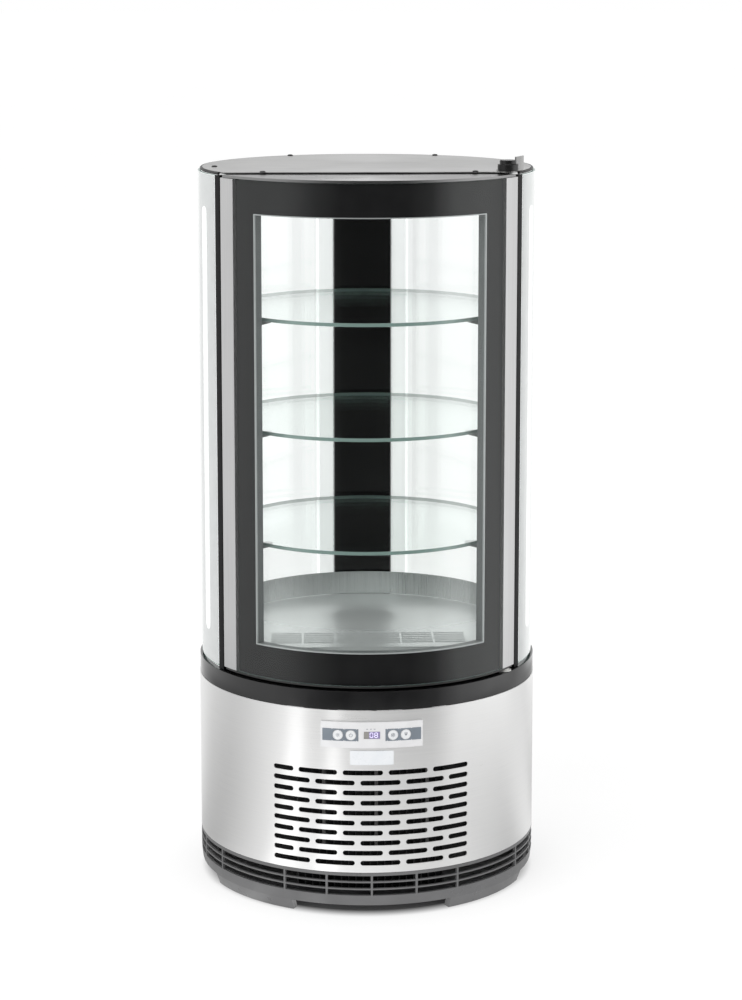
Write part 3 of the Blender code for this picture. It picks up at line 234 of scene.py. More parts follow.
# Base pan and machine room.
# Folded sheet, black coated, carrying the compressor, the finned condenser and its fan.
# Little of it shows: dark fins and a few pale tubes behind the slots of the drum.
def coated_sheet(name, tone, roughness, metallic=0.0):
    dusty = tuple(part * 1.5 + 0.01 for part in tone)
    surface, shader, tree, place = mottled(name, tone, dusty, 40.0, roughness, roughness * 1.3, 90.0)
    fill(shader, {"Metallic": metallic})
    roughened(tree, shader, cloudy(tree, place, 900.0, 2.0), 0.3, 0.00006)
    return surface


def dress(surface, *names):
    """Gives CAD nodes their finish."""
    for name in names:
        node = frame["nodes"][name]
        if not node.material_slots:
            node.data.materials.append(surface)
        for seat in node.material_slots:
            seat.material = surface


dress(coated_sheet("pan coat", (0.030, 0.030, 0.032), 0.5), "base_pan")
dress(coated_sheet("compressor paint", (0.012, 0.012, 0.013), 0.35), "compressor", "condenser_shroud")
dress(coated_sheet("condenser fins", (0.010, 0.010, 0.011), 0.55), "condenser")
dress(moulded_plastic("fan plastic", (0.02, 0.02, 0.02), (0.03, 0.03, 0.03), 0.45),
      "condenser_fan", "evaporator_fan", "evaporator_motor", "controller_box")


def new_piece(name, mesh, surface, body="cabinet", smooth=True):
    """Object from a bmesh that rides on a CAD body."""
    bmesh.ops.recalc_face_normals(mesh, faces=mesh.faces)
    data = bpy.data.meshes.new(name)
    mesh.to_mesh(data)
    mesh.free()
    if smooth:
        data.shade_smooth()
        data.set_sharp_from_angle(angle=math.radians(35))
    data.materials.append(surface)
    made = bpy.data.objects.new(name, data)
    bpy.context.collection.objects.link(made)
    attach(made, body)


def skin_rings(mesh, rings, closed=True):
    """Faces between rings of points, closed at both ends or left open."""
    for first, second in zip(rings, rings[1:]):
        for index in range(len(first)):
            after = (index + 1) % len(first)
            mesh.faces.new((first[index], second[index], second[after], first[after]))
    if closed:
        mesh.faces.new(rings[0])
        mesh.faces.new(rings[-1][::-1])


def pipe_run(name, points, radius, surface, body):
    """Bent tube through a row of points."""
    line = bpy.data.curves.new(name, "CURVE")
    line.dimensions = "3D"
    line.bevel_depth = radius
    line.bevel_resolution = 3
    line.use_fill_caps = True
    spline = line.splines.new("POLY")
    spline.points.add(len(points) - 1)
    for seat, point in zip(spline.points, points):
        seat.co = (*point, 1.0)
    made = bpy.data.objects.new(name, line)
    bpy.context.collection.objects.link(made)
    line.materials.append(surface)
    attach(made, body)


def copper_tube(name):
    surface, shader, tree = blank_finish(name)
    stain = ranged(tree, cloudy(tree, place_on_case(tree, (1.0, 1.0, 0.3)), 160.0))
    fill(shader, {"Base Color": two_tone(tree, stain, (0.13, 0.13, 0.13), (0.20, 0.195, 0.19)),
                  "Metallic": 0.6, "Roughness": ranged(tree, stain, 0.35, 0.55, 0.0, 1.0)})
    return surface


condenser_low, condenser_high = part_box("condenser")
tube_finish = copper_tube("condenser tube")
tube_radius = 0.0024
tube_front = condenser_low.y - 0.0030
tube_high, tube_low = condenser_high.z - 0.004, 0.078
tube_bend = ((0.005, 0.0), (0.0015, 0.0008), (0.0, 0.004))
for number, across in enumerate((-0.061, 0.007, 0.073), 1):
    leg = [(across, tube_front + back, tube_high - down) for back, down in tube_bend]
    leg += [(across, tube_front + back, tube_low + up) for back, up in reversed(tube_bend)]
    pipe_run(f"condenser_tube_{number}", leg, tube_radius, tube_finish, "cabinet")

baffle_coat = coated_sheet("baffle coat", (0.010, 0.010, 0.011), 0.5)
baffle_line = condenser_low.y + 0.030
baffle_reach, baffle_foot = 0.168, 0.062
baffle_gap, baffle_sheet, baffle_fold = 0.001, 0.0010, 0.006


def baffle(name, left, right):
    """Upright sheet beside the condenser that sends the air through its fins, with a folded lip."""
    mesh = bmesh.new()
    inside = right - math.copysign(baffle_sheet, right - left)
    section = [(left, baffle_line), (right, baffle_line), (right, baffle_line + baffle_fold),
               (inside, baffle_line + baffle_fold), (inside, baffle_line + baffle_sheet),
               (left, baffle_line + baffle_sheet)]
    skin_rings(mesh, [[mesh.verts.new((x, y, level)) for x, y in section]
                      for level in (baffle_foot, condenser_high.z)])
    new_piece(name, mesh, baffle_coat)


baffle("air_baffle_right", condenser_high.x + baffle_gap, baffle_reach)
baffle("air_baffle_left", condenser_low.x - baffle_gap, -baffle_reach)


# Drum.
# Rolled stainless sheet, brushed round the drum, with round-ended slots punched in brick pattern.
# The brushing spreads light up and down, so the drum shows soft upright bands.
def calculated(tree, operation, *values):
    """Result of one step of arithmetic on patterns and numbers."""
    return add_node(tree, "ShaderNodeMath", dict(enumerate(values)), operation=operation).outputs["Value"]


def brushed_steel(name, tone, shade, roughness, stretch, turned=True, spread=0.75, grain_turn=0.0):
    surface, shader, tree = blank_finish(name)
    lines = cloudy(tree, place_on_case(tree, stretch), 1.0, 4.0)
    clouds = cloudy(tree, place_on_case(tree), 9.0)
    wide = ranged(tree, clouds, roughness * 0.92, roughness * 1.08)
    fill(shader, {"Base Color": two_tone(tree, ranged(tree, lines), tone, shade), "Metallic": 1.0,
                  "Roughness": calculated(tree, "ADD", ranged(tree, lines, -0.03, 0.03), wide),
                  "Anisotropic": spread, "Anisotropic Rotation": grain_turn})
    if turned:
        around = add_node(tree, "ShaderNodeTangent", {}, direction_type="RADIAL", axis="Z")
        fill(shader, {"Tangent": around.outputs["Tangent"]})
    roughened(tree, shader, lines, 0.06, 0.00003)
    return surface


drum_steel = brushed_steel("drum steel", (0.83, 0.83, 0.825), (0.86, 0.86, 0.855), 0.33,
                           (12.0, 12.0, 1500.0), True, 0.9, 0.25)
drum_low, drum_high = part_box("drum_shell")
drum_radius = drum_high.x
drum_sheet = 0.0012
drum_degrees = math.degrees(1 / drum_radius)
slot_half = 0.0032
row_pitch = 0.01334
long_slot, slot_bridge, short_slot = 13.2, 1.85, 7.4
end_steps = 5
narrowest, widest = 0.02, 1.6


def around_case(radius, degrees, height):
    """Point on the round body, degrees counted from the front to the right."""
    turn = math.radians(degrees)
    return Vector((radius * math.sin(turn), -radius * math.cos(turn), height))


def brick_row(start, short_first):
    """Slots of one row as pairs of directions; each row has four long slots and a short one at one end."""
    lengths = [long_slot] * 4
    lengths.insert(0 if short_first else 4, short_slot)
    slots = []
    for length in lengths:
        slots.append((start, start + length))
        start += length + slot_bridge
    return slots


def slotted_sheet(mesh, start, end, bands):
    """Part of the rolled sheet; a band is low edge, high edge, half height of its slots and the slots."""
    marks = {start, end}
    for low, high, half, slots in bands:
        cap = half * drum_degrees
        for left, right in slots:
            for step in range(end_steps + 1):
                inset = cap * (1 - math.cos(math.radians(90 / end_steps * step)))
                marks |= {left + inset, right - inset}
    stops = [start]
    for mark in sorted(marks)[1:]:
        gap = mark - stops[-1]
        if gap < narrowest:
            continue
        pieces = math.ceil(gap / widest)
        stops += [stops[-1] + gap * (step + 1) / pieces for step in range(pieces)]
    seats = {}

    def seat(layer, turn, height):
        key = (layer, round(turn, 4), round(height, 6))
        if key not in seats:
            seats[key] = mesh.verts.new(around_case(drum_radius - layer * drum_sheet, turn, height))
        return seats[key]

    def reach(turn, half, slots):
        shut = 0.005
        cap = half * drum_degrees
        for left, right in slots:
            inset = min(turn - left, right - turn, cap)
            if inset > shut:
                return half * math.sqrt(1 - (1 - inset / cap) ** 2)
        return 0.0

    def skin(a, b, low_a, low_b, high_a, high_b):
        for layer in (0, 1):
            ring = [seat(layer, turn, height)
                    for turn, height in ((a, low_a), (b, low_b), (b, high_b), (a, high_a))]
            mesh.faces.new(ring if layer == 0 else list(reversed(ring)))

    def rim(a, b, height_a, height_b):
        mesh.faces.new((seat(0, a, height_a), seat(1, a, height_a),
                        seat(1, b, height_b), seat(0, b, height_b)))

    for low, high, half, slots in bands:
        middle = (low + high) / 2
        for a, b in zip(stops, stops[1:]):
            if not slots:
                skin(a, b, low, low, high, high)
                continue
            open_a, open_b = reach(a, half, slots), reach(b, half, slots)
            skin(a, b, low, low, middle - open_a, middle - open_b)
            skin(a, b, middle + open_a, middle + open_b, high, high)
            if open_a or open_b:
                rim(a, b, middle - open_a, middle - open_b)
                rim(a, b, middle + open_a, middle + open_b)
    for a, b in zip(stops, stops[1:]):
        rim(a, b, bands[0][0], bands[0][0])
        rim(a, b, bands[-1][1], bands[-1][1])


def rows_of_slots(first, count, start):
    """Bands of one slot field from the lowest row up."""
    bands = []
    for row in range(count - 1, -1, -1):
        height = first - row * row_pitch
        bands.append((height - row_pitch / 2, height + row_pitch / 2, slot_half,
                      brick_row(start, row % 2 == 0)))
    return bands


drum_mesh = bmesh.new()
drum_mesh.faces.layers.int.new("eased")
slot_fields = ((-90.0, 0.1917, 10, -33.85), (90.0, 0.1870, 4, 146.15))
for half_start, top_row, rows, first_slot in slot_fields:
    bands = rows_of_slots(top_row, rows, first_slot)
    plain_foot, plain_top = (drum_low.z, bands[0][0], 0.0, []), (bands[-1][1], drum_high.z, 0.0, [])
    slotted_sheet(drum_mesh, half_start, half_start + 180.0, [plain_foot, *bands, plain_top])
drum_mesh.normal_update()
crisp_turn = 0.5
bmesh.ops.split_edges(drum_mesh, edges=[edge for edge in drum_mesh.edges if len(edge.link_faces) > 1
                                        and edge.calc_face_angle(0.0) > crisp_turn])
drum_piece = evenly_shaded("drum_sheet", drum_mesh, drum_steel)
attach(drum_piece, "cabinet")
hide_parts("drum_shell")
dress(moulded_plastic("gland black", (0.02, 0.02, 0.02), (0.03, 0.03, 0.03), 0.4), "cable_gland")


# Belt.
# Glossy black ring between the drum and the glass; its top is the ledge that the door swings over.
def polished_black(name, roughness=0.06, tone=0.010, mirror=0.5):
    surface, shader, _, _ = mottled(name, (tone, tone, tone * 1.05), (tone * 1.2, tone * 1.2, tone * 1.25),
                                    25.0, roughness, roughness * 1.6, 25.0)
    fill(shader, {"Specular IOR Level": mirror})
    return surface


finished_piece("belt_ring", polished_black("belt black"), 0.0004)


# Control panel.
# Satin silver film plate with two printed blue-grey fields, four pearl buttons and a small display.
# It is curved to the drum and glued on; its print is flat, and the lit digits are plain numbers.
def satin_paint(name, tone, shade, roughness, metallic=0.0):
    surface, shader, tree, place = mottled(name, tone, shade, 45.0, roughness * 0.9, roughness * 1.15, 300.0)
    fill(shader, {"Metallic": metallic})
    roughened(tree, shader, cloudy(tree, place, 3000.0, 1.0), 0.15, 0.00002)
    return surface


panel_silver = satin_paint("panel silver", (0.80, 0.80, 0.81), (0.86, 0.86, 0.87), 0.42, 0.15)
finished_piece("control_panel", panel_silver, 0.0006)
panel_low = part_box("control_panel")[0]
panel_radius = -panel_low.y
panel_degrees = math.degrees(1 / panel_radius)


def wrapped_plate(name, surface, left, right, low, high, radius, thickness, corner, columns=12):
    """Thin plate bent round the case, with rounded corners; left and right are in degrees."""
    corner_steps = 4
    corner_turn = math.degrees(corner / radius)
    rounding = [corner_turn * (1 - math.cos(math.radians(step * 90 / corner_steps)))
                for step in range(corner_steps)]
    stops = [left + inset for inset in rounding]
    stops += [left + corner_turn + (right - left - 2 * corner_turn) * step / columns
              for step in range(columns + 1)]
    stops += [right - inset for inset in reversed(rounding)]
    mesh = bmesh.new()
    rows = []
    for stop in stops:
        reach = max(0.0, corner_turn - min(stop - left, right - stop)) / corner_turn
        drop = corner * (1 - math.sqrt(max(0.0, 1 - reach * reach)))
        ends = []
        for layer in (0.0, thickness):
            for height in (low + drop, high - drop):
                ends.append(mesh.verts.new(around_case(radius + layer, stop, height)))
        rows.append(ends)
    for first, second in zip(rows, rows[1:]):
        mesh.faces.new((first[2], second[2], second[3], first[3]))
        mesh.faces.new((first[0], first[1], second[1], second[0]))
        mesh.faces.new((first[0], second[0], second[2], first[2]))
        mesh.faces.new((first[1], first[3], second[3], second[1]))
    mesh.faces.new((rows[0][0], rows[0][2], rows[0][3], rows[0][1]))
    mesh.faces.new((rows[-1][0], rows[-1][1], rows[-1][3], rows[-1][2]))
    new_piece(name, mesh, surface)


field_print = satin_paint("blue-grey print", (0.185, 0.215, 0.250), (0.215, 0.250, 0.290), 0.45)
button_boxes = {name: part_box(name) for name in ("button_lamp", "button_defrost", "button_down", "button_up")}
button_z = sum(corner.z for corner in button_boxes["button_up"]) / 2
button_degrees = {}
for name, (low, high) in button_boxes.items():
    middle = (low + high) / 2
    button_degrees[name] = math.degrees(math.atan2(middle.x, -middle.y))
field_low, field_high = button_z - 0.0078, button_z + 0.0082
field_near, field_far = 4.35, 16.1
field_lift = 0.00012
hole_radius, hole_steps = 0.00685, 40


def field_with_holes(name, left, right, held):
    """Printed field cut round for its buttons."""
    mesh = bmesh.new()
    cell, widest_column = 0.0079 * panel_degrees, 1.5
    angles = [button_degrees[button] for button in held]
    cuts = [left]
    for angle in angles:
        cuts += [angle - cell, angle + cell]
    cuts.append(right)

    def skin(turn, level):
        return mesh.verts.new(around_case(panel_radius + field_lift, turn, level))

    for start, end in zip(cuts[::2], cuts[1::2]):
        steps = max(1, math.ceil((end - start) / widest_column))
        columns = [[skin(start + (end - start) * step / steps, level) for level in (field_low, field_high)]
                   for step in range(steps + 1)]
        for (low_a, high_a), (low_b, high_b) in zip(columns, columns[1:]):
            mesh.faces.new((low_a, low_b, high_b, high_a))
    middle = (field_low + field_high) / 2
    half = (field_high - field_low) / 2
    for angle in angles:
        outer, inner = [], []
        for step in range(hole_steps):
            turn = math.radians(360 / hole_steps * (step + 0.5))
            reach = 1 / max(abs(math.cos(turn)), abs(math.sin(turn)))
            outer.append(skin(angle + cell * math.cos(turn) * reach, middle + half * math.sin(turn) * reach))
            inner.append(skin(angle + hole_radius * math.cos(turn) * panel_degrees,
                              button_z + hole_radius * math.sin(turn)))
        skin_rings(mesh, [outer, inner], closed=False)
    bmesh.ops.remove_doubles(mesh, verts=mesh.verts, dist=0.00002)
    new_piece(name, mesh, field_print)


field_with_holes("left_print_field", -field_far, -field_near, ("button_lamp", "button_defrost"))
field_with_holes("right_print_field", field_near, field_far, ("button_down", "button_up"))
button_pearl, pearl_shader, _, _ = mottled("button pearl", (0.80, 0.82, 0.84), (0.86, 0.87, 0.88), 220.0,
                                           0.28, 0.36, 900.0)
fill(pearl_shader, {"Coat Weight": 0.4, "Coat Roughness": 0.1})
for name in button_boxes:
    finished_piece(name, button_pearl, 0.0004)
icon_print = satin_paint("icon grey", (0.20, 0.22, 0.25), (0.26, 0.28, 0.31), 0.5)


def icon(name, body, degrees, radius, strokes):
    """Flat printed sign of polygons on a button; strokes are in millimetres across and up."""
    lift, thickness = 0.00006, 0.00004
    mesh = bmesh.new()
    centre = around_case(radius + lift, degrees, button_z)
    turn = math.radians(degrees)
    across = Vector((math.cos(turn), math.sin(turn), 0.0))
    outward = Vector((math.sin(turn), -math.cos(turn), 0.0)) * thickness
    for stroke in strokes:
        front = [mesh.verts.new(centre + across * (x / 1000) + Vector((0, 0, y / 1000)) + outward)
                 for x, y in stroke]
        skin_rings(mesh, [front, [mesh.verts.new(vertex.co - outward) for vertex in front]])
    new_piece(name, mesh, icon_print, body, smooth=False)


def bar(x1, y1, x2, y2, width):
    """Straight stroke between two points."""
    along = Vector((x2 - x1, y2 - y1)).normalized()
    side = Vector((-along.y, along.x)) * width / 2
    return [(x1 - side.x, y1 - side.y), (x2 - side.x, y2 - side.y),
            (x2 + side.x, y2 + side.y), (x1 + side.x, y1 + side.y)]


def arc_strokes(radius, start, end, width, pieces):
    """Ring part made of short strokes."""
    inner, outer = radius - width / 2, radius + width / 2
    strokes = []
    for step in range(pieces):
        first = math.radians(start + (end - start) * step / pieces)
        second = math.radians(start + (end - start) * (step + 1) / pieces)
        corners = ((inner, first), (outer, first), (outer, second), (inner, second))
        strokes.append([(reach * math.cos(turn), reach * math.sin(turn)) for reach, turn in corners])
    return strokes


button_face = {name: max(Vector((vertex.co.x, vertex.co.y)).length
                         for vertex in frame["nodes"][name].data.vertices)
               for name in button_boxes}
lamp_sign = arc_strokes(1.1, 0, 360, 0.45, 16)
for ray in range(8):
    turn = math.radians(45 * ray)
    lamp_sign.append(bar(1.9 * math.cos(turn), 1.9 * math.sin(turn),
                         2.8 * math.cos(turn), 2.8 * math.sin(turn), 0.4))
power_sign = arc_strokes(2.1, 125, 415, 0.5, 16) + [bar(0, 0.4, 0, 2.9, 0.5)]
frost_sign = []
for spoke in range(6):
    turn = math.radians(60 * spoke + 30)
    tip = Vector((math.cos(turn), math.sin(turn)))
    side = Vector((-tip.y, tip.x))
    frost_sign.append(bar(0, 0, 2.8 * tip.x, 2.8 * tip.y, 0.38))
    for hand in (-1, 1):
        end = tip * 2.5 + side * hand * 0.8
        frost_sign.append(bar(1.7 * tip.x, 1.7 * tip.y, end.x, end.y, 0.34))
down_sign = [[(-2.2, 1.1), (0, -1.9), (2.2, 1.1)], bar(-2.2, 2.2, 2.2, 2.2, 0.45)]
for name, sign in (("button_lamp", lamp_sign), ("button_defrost", power_sign),
                   ("button_down", frost_sign), ("button_up", down_sign)):
    icon(name + "_icon", name, button_degrees[name], button_face[name], sign)


def smoked_window(name, split):
    """Violet window whose left end is a plain grey strip."""
    blur = 0.0006
    surface, shader, tree = blank_finish(name)
    place = place_on_case(tree)
    violet = patches(tree, place, 150.0, (0.24, 0.20, 0.40), (0.30, 0.25, 0.48))
    across = add_node(tree, "ShaderNodeSeparateXYZ", {"Vector": place}).outputs["X"]
    share = ranged(tree, across, 0.0, 1.0, split - blur, split + blur)
    pane = add_node(tree, "ShaderNodeMix", {0: share, 6: (0.30, 0.29, 0.27, 1.0), 7: violet},
                    data_type="RGBA")
    fill(shader, {"Base Color": pane.outputs[2], "Roughness": 0.12})
    return surface


display_low, display_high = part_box("display_window")
finished_piece("display_window", smoked_window("display violet", display_low.x * 0.36), 0.0)
display_radius = -display_low.y
digit_light, digit_shader, digit_tree = blank_finish("lit digit")
fill(digit_shader, {"Base Color": patches(digit_tree, place_on_case(digit_tree), 700.0,
                                          (0.72, 0.66, 0.95), (0.92, 0.90, 1.0)),
                    "Emission Color": (0.80, 0.76, 1.0, 1.0), "Emission Strength": 0.55})
segments = {"top": (0, 6.2, 3.6, 6.2), "middle": (0, 3.1, 3.6, 3.1), "bottom": (0, 0, 3.6, 0),
            "high_left": (0, 3.1, 0, 6.2), "high_right": (3.6, 3.1, 3.6, 6.2),
            "low_left": (0, 0, 0, 3.1), "low_right": (3.6, 0, 3.6, 3.1)}


def lit_digit(name, left, unlit=()):
    """Figure of short bars, at most seven, just in front of the display window."""
    trim, width, foot, lift = 0.35, 0.8, 0.0014, 0.00005
    mesh = bmesh.new()
    for part, (x1, y1, x2, y2) in segments.items():
        if part in unlit:
            continue
        if x1 == x2:
            stroke = bar(x1, y1 + trim, x2, y2 - trim, width)
        else:
            stroke = bar(x1 + trim, y1, x2 - trim, y2, width)
        corners = []
        for x, y in stroke:
            turn = (left + x) / 1000 / display_radius
            level = display_low.z + foot + y / 1000
            corners.append(mesh.verts.new(around_case(display_radius + lift, math.degrees(turn), level)))
        mesh.faces.new(corners)
    new_piece(name, mesh, digit_light, smooth=False)


lit_digit("digit_left", -2.4, unlit=("middle",))
lit_digit("digit_right", 3.6)
mark_print = satin_paint("panel mark grey", (0.50, 0.51, 0.53), (0.56, 0.57, 0.60), 0.5)
for number, centre in enumerate((-1.55, -0.35, 0.85), 1):
    wrapped_plate(f"panel_mark_{number}", mark_print, centre - 0.32, centre + 0.32,
                  display_high.z + 0.0028, display_high.z + 0.0042, panel_radius - 0.00008, 0.0001, 0.0004, 2)


# Bare badge plate.
# A small glued plate of white enamelled sheet under the panel, left plain on this part.
badge_enamel = satin_paint("badge enamel", (0.83, 0.86, 0.89), (0.88, 0.90, 0.92), 0.3)
badge_top, badge_height = panel_low.z - 0.0042, 0.0186
wrapped_plate("badge_plate", badge_enamel, -7.1, 7.1, badge_top - badge_height, badge_top,
              drum_radius + 0.0001, 0.0009, 0.0012)


# Deck of the cold space.
# Stainless plate, louvred air grille and low kick ring, all brushed; a white foam-filled tub below
# holds the coil and its fan.
deck_steel = brushed_steel("deck steel", (0.75, 0.77, 0.765), (0.83, 0.845, 0.84), 0.34, (9.0, 700.0, 700.0),
                           False, 0.4)
finished_piece("deck_plate", deck_steel, 0.0003)
finished_piece("deck_grille", deck_steel, 0.0003)
kick_steel = brushed_steel("kick ring steel", (0.48, 0.495, 0.495), (0.56, 0.58, 0.575), 0.30,
                           (600.0, 600.0, 9.0))
finished_piece("kick_ring", kick_steel, 0.0003)
dress(satin_paint("tub lining", (0.55, 0.56, 0.56), (0.62, 0.63, 0.63), 0.5), "insulation_tub")
dress(satin_paint("ceiling white", (0.70, 0.71, 0.71), (0.76, 0.77, 0.77), 0.45), "ceiling_panel")


def coil_fins(name):
    surface, shader, tree = blank_finish(name)
    fins = add_node(tree, "ShaderNodeTexWave", {"Vector": place_on_case(tree), "Scale": 90.0},
                    wave_type="BANDS", bands_direction="X").outputs["Fac"]
    # The bands follow the fin pitch: pale bands are fin edges, dark bands are painted shade in the gaps
    # between fins.
    fill(shader, {"Base Color": two_tone(tree, fins, (0.20, 0.20, 0.21), (0.62, 0.63, 0.64)),
                  "Metallic": 1.0, "Roughness": 0.4})
    roughened(tree, shader, fins, 0.6, 0.001)
    return surface


dress(coil_fins("coil fins with painted gap shade"), "evaporator")


# Posts, rear column and shelf brackets.
# Black coated channels and small black hooks; the column behind carries cold air up to the shelves.
channel_black = moulded_plastic("channel black", (0.0025, 0.0025, 0.003), (0.004, 0.004, 0.0045), 0.30,
                                1600.0)
fill(channel_black.node_tree.nodes["Principled BSDF"], {"Specular IOR Level": 0.06})
bracket_grey = moulded_plastic("bracket grey", (0.13, 0.15, 0.145), (0.17, 0.19, 0.185), 0.3, 1600.0)
for side in ("right", "left"):
    finished_piece(f"{side}_post", channel_black, 0.0006)
    for number in (1, 2, 3):
        finished_piece(f"{side}_bracket_{number}", bracket_grey, 0.0008)
# The column is black plastic; its tone is set darker than the other blacks as painted shade inside the case.
finished_piece("rear_column", polished_black("column black with painted shade", 0.12, 0.003, 0.25), 0.0005)


# Lamps.
# White diffuser strips behind the posts, softly lit from small lamps inside.
lens_white, lens_shader, lens_tree = blank_finish("lamp lens")
fill(lens_shader, {"Base Color": patches(lens_tree, place_on_case(lens_tree), 120.0,
                                         (0.84, 0.85, 0.85), (0.90, 0.91, 0.91)),
                   "Roughness": 0.5, "Emission Color": (1.0, 0.99, 0.97, 1.0), "Emission Strength": 0.35})
for side in ("right", "left"):
    finished_piece(f"{side}_lamp", lens_white, 0.0010)


# Curved glazing.
# Double panes bent to the case, clear with a faint green tint, kept apart by a pale grey spacer frame that has
# a painted glow.
# Seen flat on they nearly vanish; along an edge the glass turns green.
def mixed(tree, share, first, second):
    """Blend of two shaders."""
    return add_node(tree, "ShaderNodeMixShader", {"Fac": share, 1: first, 2: second}).outputs["Shader"]


def clear_glass(name, tint, edge_tint, edge_is_level, flat_on, gloss=1.0, veil=None):
    """Thin glass: passes light straight through, mirrors by angle, and has milky green edges."""
    surface, mirror, tree = blank_finish(name)
    fill(mirror, {"Base Color": (0.96, 0.98, 0.97, 1.0), "Metallic": 1.0, "Roughness": 0.02})
    place = place_on_case(tree)
    paler = tuple(min(1.0, part * 1.01) for part in tint)
    passing = add_node(tree, "ShaderNodeBsdfTransparent", {"Color": patches(tree, place, 4.0, tint, paler)})
    slant = add_node(tree, "ShaderNodeLayerWeight", {"Blend": 0.5})
    steep = calculated(tree, "POWER", slant.outputs["Facing"], 5.0)
    body = mixed(tree, ranged(tree, steep, flat_on, gloss, 0.0, 1.0), passing.outputs["BSDF"],
                 mirror.outputs["BSDF"])
    if veil:
        height, depth, strength, veil_tone = veil
        fog = add_node(tree, "ShaderNodeBsdfDiffuse", {"Color": (*veil_tone, 1.0)})
        rise = add_node(tree, "ShaderNodeSeparateXYZ", {"Vector": place}).outputs["Z"]
        body = mixed(tree, ranged(tree, rise, strength, 0.0, height, height + depth), body,
                     fog.outputs["BSDF"])
    cut = add_node(tree, "ShaderNodeBsdfPrincipled", {"Base Color": (*edge_tint, 1.0), "Roughness": 0.25})
    facing = add_node(tree, "ShaderNodeNewGeometry", {}).outputs["True Normal"]
    upward = add_node(tree, "ShaderNodeSeparateXYZ", {"Vector": facing}).outputs["Z"]
    at_edge = calculated(tree, "GREATER_THAN" if edge_is_level else "LESS_THAN",
                         calculated(tree, "ABSOLUTE", upward), 0.5)
    fill(tree.nodes["Material Output"], {"Surface": mixed(tree, at_edge, body, cut.outputs["BSDF"])})
    return surface


side_glass = clear_glass("side glass", (0.986, 0.994, 0.990), (0.30, 0.42, 0.38), True, 0.075)
# The spacer gets a glow of its own: painted light that makes it read white, though it is no lamp.
spacer_painted_glow = satin_paint("spacer white with painted glow", (0.80, 0.81, 0.81), (0.85, 0.86, 0.86), 0.4)
fill(spacer_painted_glow.node_tree.nodes["Principled BSDF"],
     {"Emission Color": (1.0, 1.0, 1.0, 1.0), "Emission Strength": 0.62})
border_print = satin_paint("side border print", (0.61, 0.62, 0.62), (0.65, 0.66, 0.66), 0.35)
pane_radius = 0.22165
for side, sign in (("right", 1), ("left", -1)):
    for layer in ("outer", "inner"):
        finished_piece(f"{side}_{layer}_pane", side_glass, 0.0006, one_skin=True)
    finished_piece(f"{side}_spacer", spacer_painted_glow, 0.0)
    pane_low, pane_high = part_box(f"{side}_outer_pane")
    near, far = sorted((63.6 * sign, 84.0 * sign))
    wrapped_plate(f"{side}_pane_border", border_print, near, far, pane_low.z + 0.001, pane_high.z - 0.001,
                  pane_radius - 0.0010, 0.0003, 0.0010, 14)
    near, far = sorted((70.8 * sign, 76.2 * sign))
    wrapped_plate(f"{side}_lamp_window", lens_white, near, far, pane_low.z + 0.041, pane_high.z - 0.043,
                  pane_radius - 0.0007, 0.0003, 0.0090, 8)


# Shelves.
# Three round plates of toughened glass, ground at the rim, which looks pale green against the light.
shelf_glass = clear_glass("shelf glass", (0.965, 0.985, 0.978), (0.20, 0.29, 0.265), False, 0.04)
for number in (1, 2, 3):
    finished_piece(f"shelf_{number}", shelf_glass, 0.0008)


# Top.
# A foam-filled housing closed by a screwed stainless cover with a black seal bead round it.
# The cover's and the door cap's steel are toned far darker than the drum's: painted shade on their upward
# faces.
shaded_cover_steel = brushed_steel("cover steel with painted shade", (0.30, 0.30, 0.298), (0.44, 0.44, 0.436), 0.36,
                            (30.0, 900.0, 900.0), False, 0.3)
finished_piece("top_plate", shaded_cover_steel, 0.0004)
finished_piece("door_top_cap", brushed_steel("door cap steel with painted shade", (0.24, 0.24, 0.24), (0.30, 0.30, 0.30), 0.30,
                                             (20.0, 20.0, 900.0)), 0.0005)
dress(coated_sheet("housing coat", (0.03, 0.03, 0.03), 0.5), "top_housing")
seal_rubber = moulded_plastic("seal rubber", (0.015, 0.015, 0.015), (0.022, 0.022, 0.022), 0.5, 1400.0)


def bead(name, surface, radius, start, end, height, half_width, half_height):
    """Rounded bead laid along an arc of the case."""
    steps, sides = 72, 10
    mesh = bmesh.new()
    rings = []
    for step in range(steps + 1):
        degrees = start + (end - start) * step / steps
        turns = [math.tau * side / sides for side in range(sides)]
        rings.append([mesh.verts.new(around_case(radius + half_width * math.cos(turn), degrees,
                                                 height + half_height * math.sin(turn))) for turn in turns])
    skin_rings(mesh, rings)
    new_piece(name, mesh, surface)


plate_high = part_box("top_plate")[1]
glass_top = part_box("right_outer_pane")[1].z
bead("cover_seal", seal_rubber, plate_high.x + 0.0012, 62.0, 298.0, (glass_top + plate_high.z) / 2, 0.0018,
     (plate_high.z - glass_top) / 2 - 0.0002)
screw_black = coated_sheet("screw black", (0.03, 0.03, 0.03), 0.35, 0.6)


def screw_head(name, place, radius, height):
    """Low domed screw head with a cross recess pressed in."""
    sides = 24
    mesh = bmesh.new()
    profile = [([radius] * sides, 0.0), ([radius] * sides, height * 0.35),
               ([radius * 0.82] * sides, height * 0.8), ([radius * 0.45] * sides, height),
               ([radius * (0.40 if side % 6 in (0, 1, 5) else 0.16) for side in range(sides)], height)]
    rings = []
    for reaches, level in profile:
        rings.append([])
        for side, reach in enumerate(reaches):
            turn = math.tau * side / sides
            point = Vector((reach * math.cos(turn), reach * math.sin(turn), level))
            rings[-1].append(mesh.verts.new(Vector(place) + point))
    rings.append([mesh.verts.new(vertex.co - Vector((0, 0, height * 0.6))) for vertex in rings[-1]])
    skin_rings(mesh, rings)
    new_piece(name, mesh, screw_black)


cover_screws = ((-50.0, 0.177), (50.0, 0.177), (-84.7, 0.200), (84.7, 0.200),
                (-151.0, 0.206), (151.0, 0.206))
for number, (degrees, radius) in enumerate(cover_screws, 1):
    screw_head(f"cover_screw_{number}", around_case(radius, degrees, plate_high.z + 0.0001), 0.0038, 0.0018)


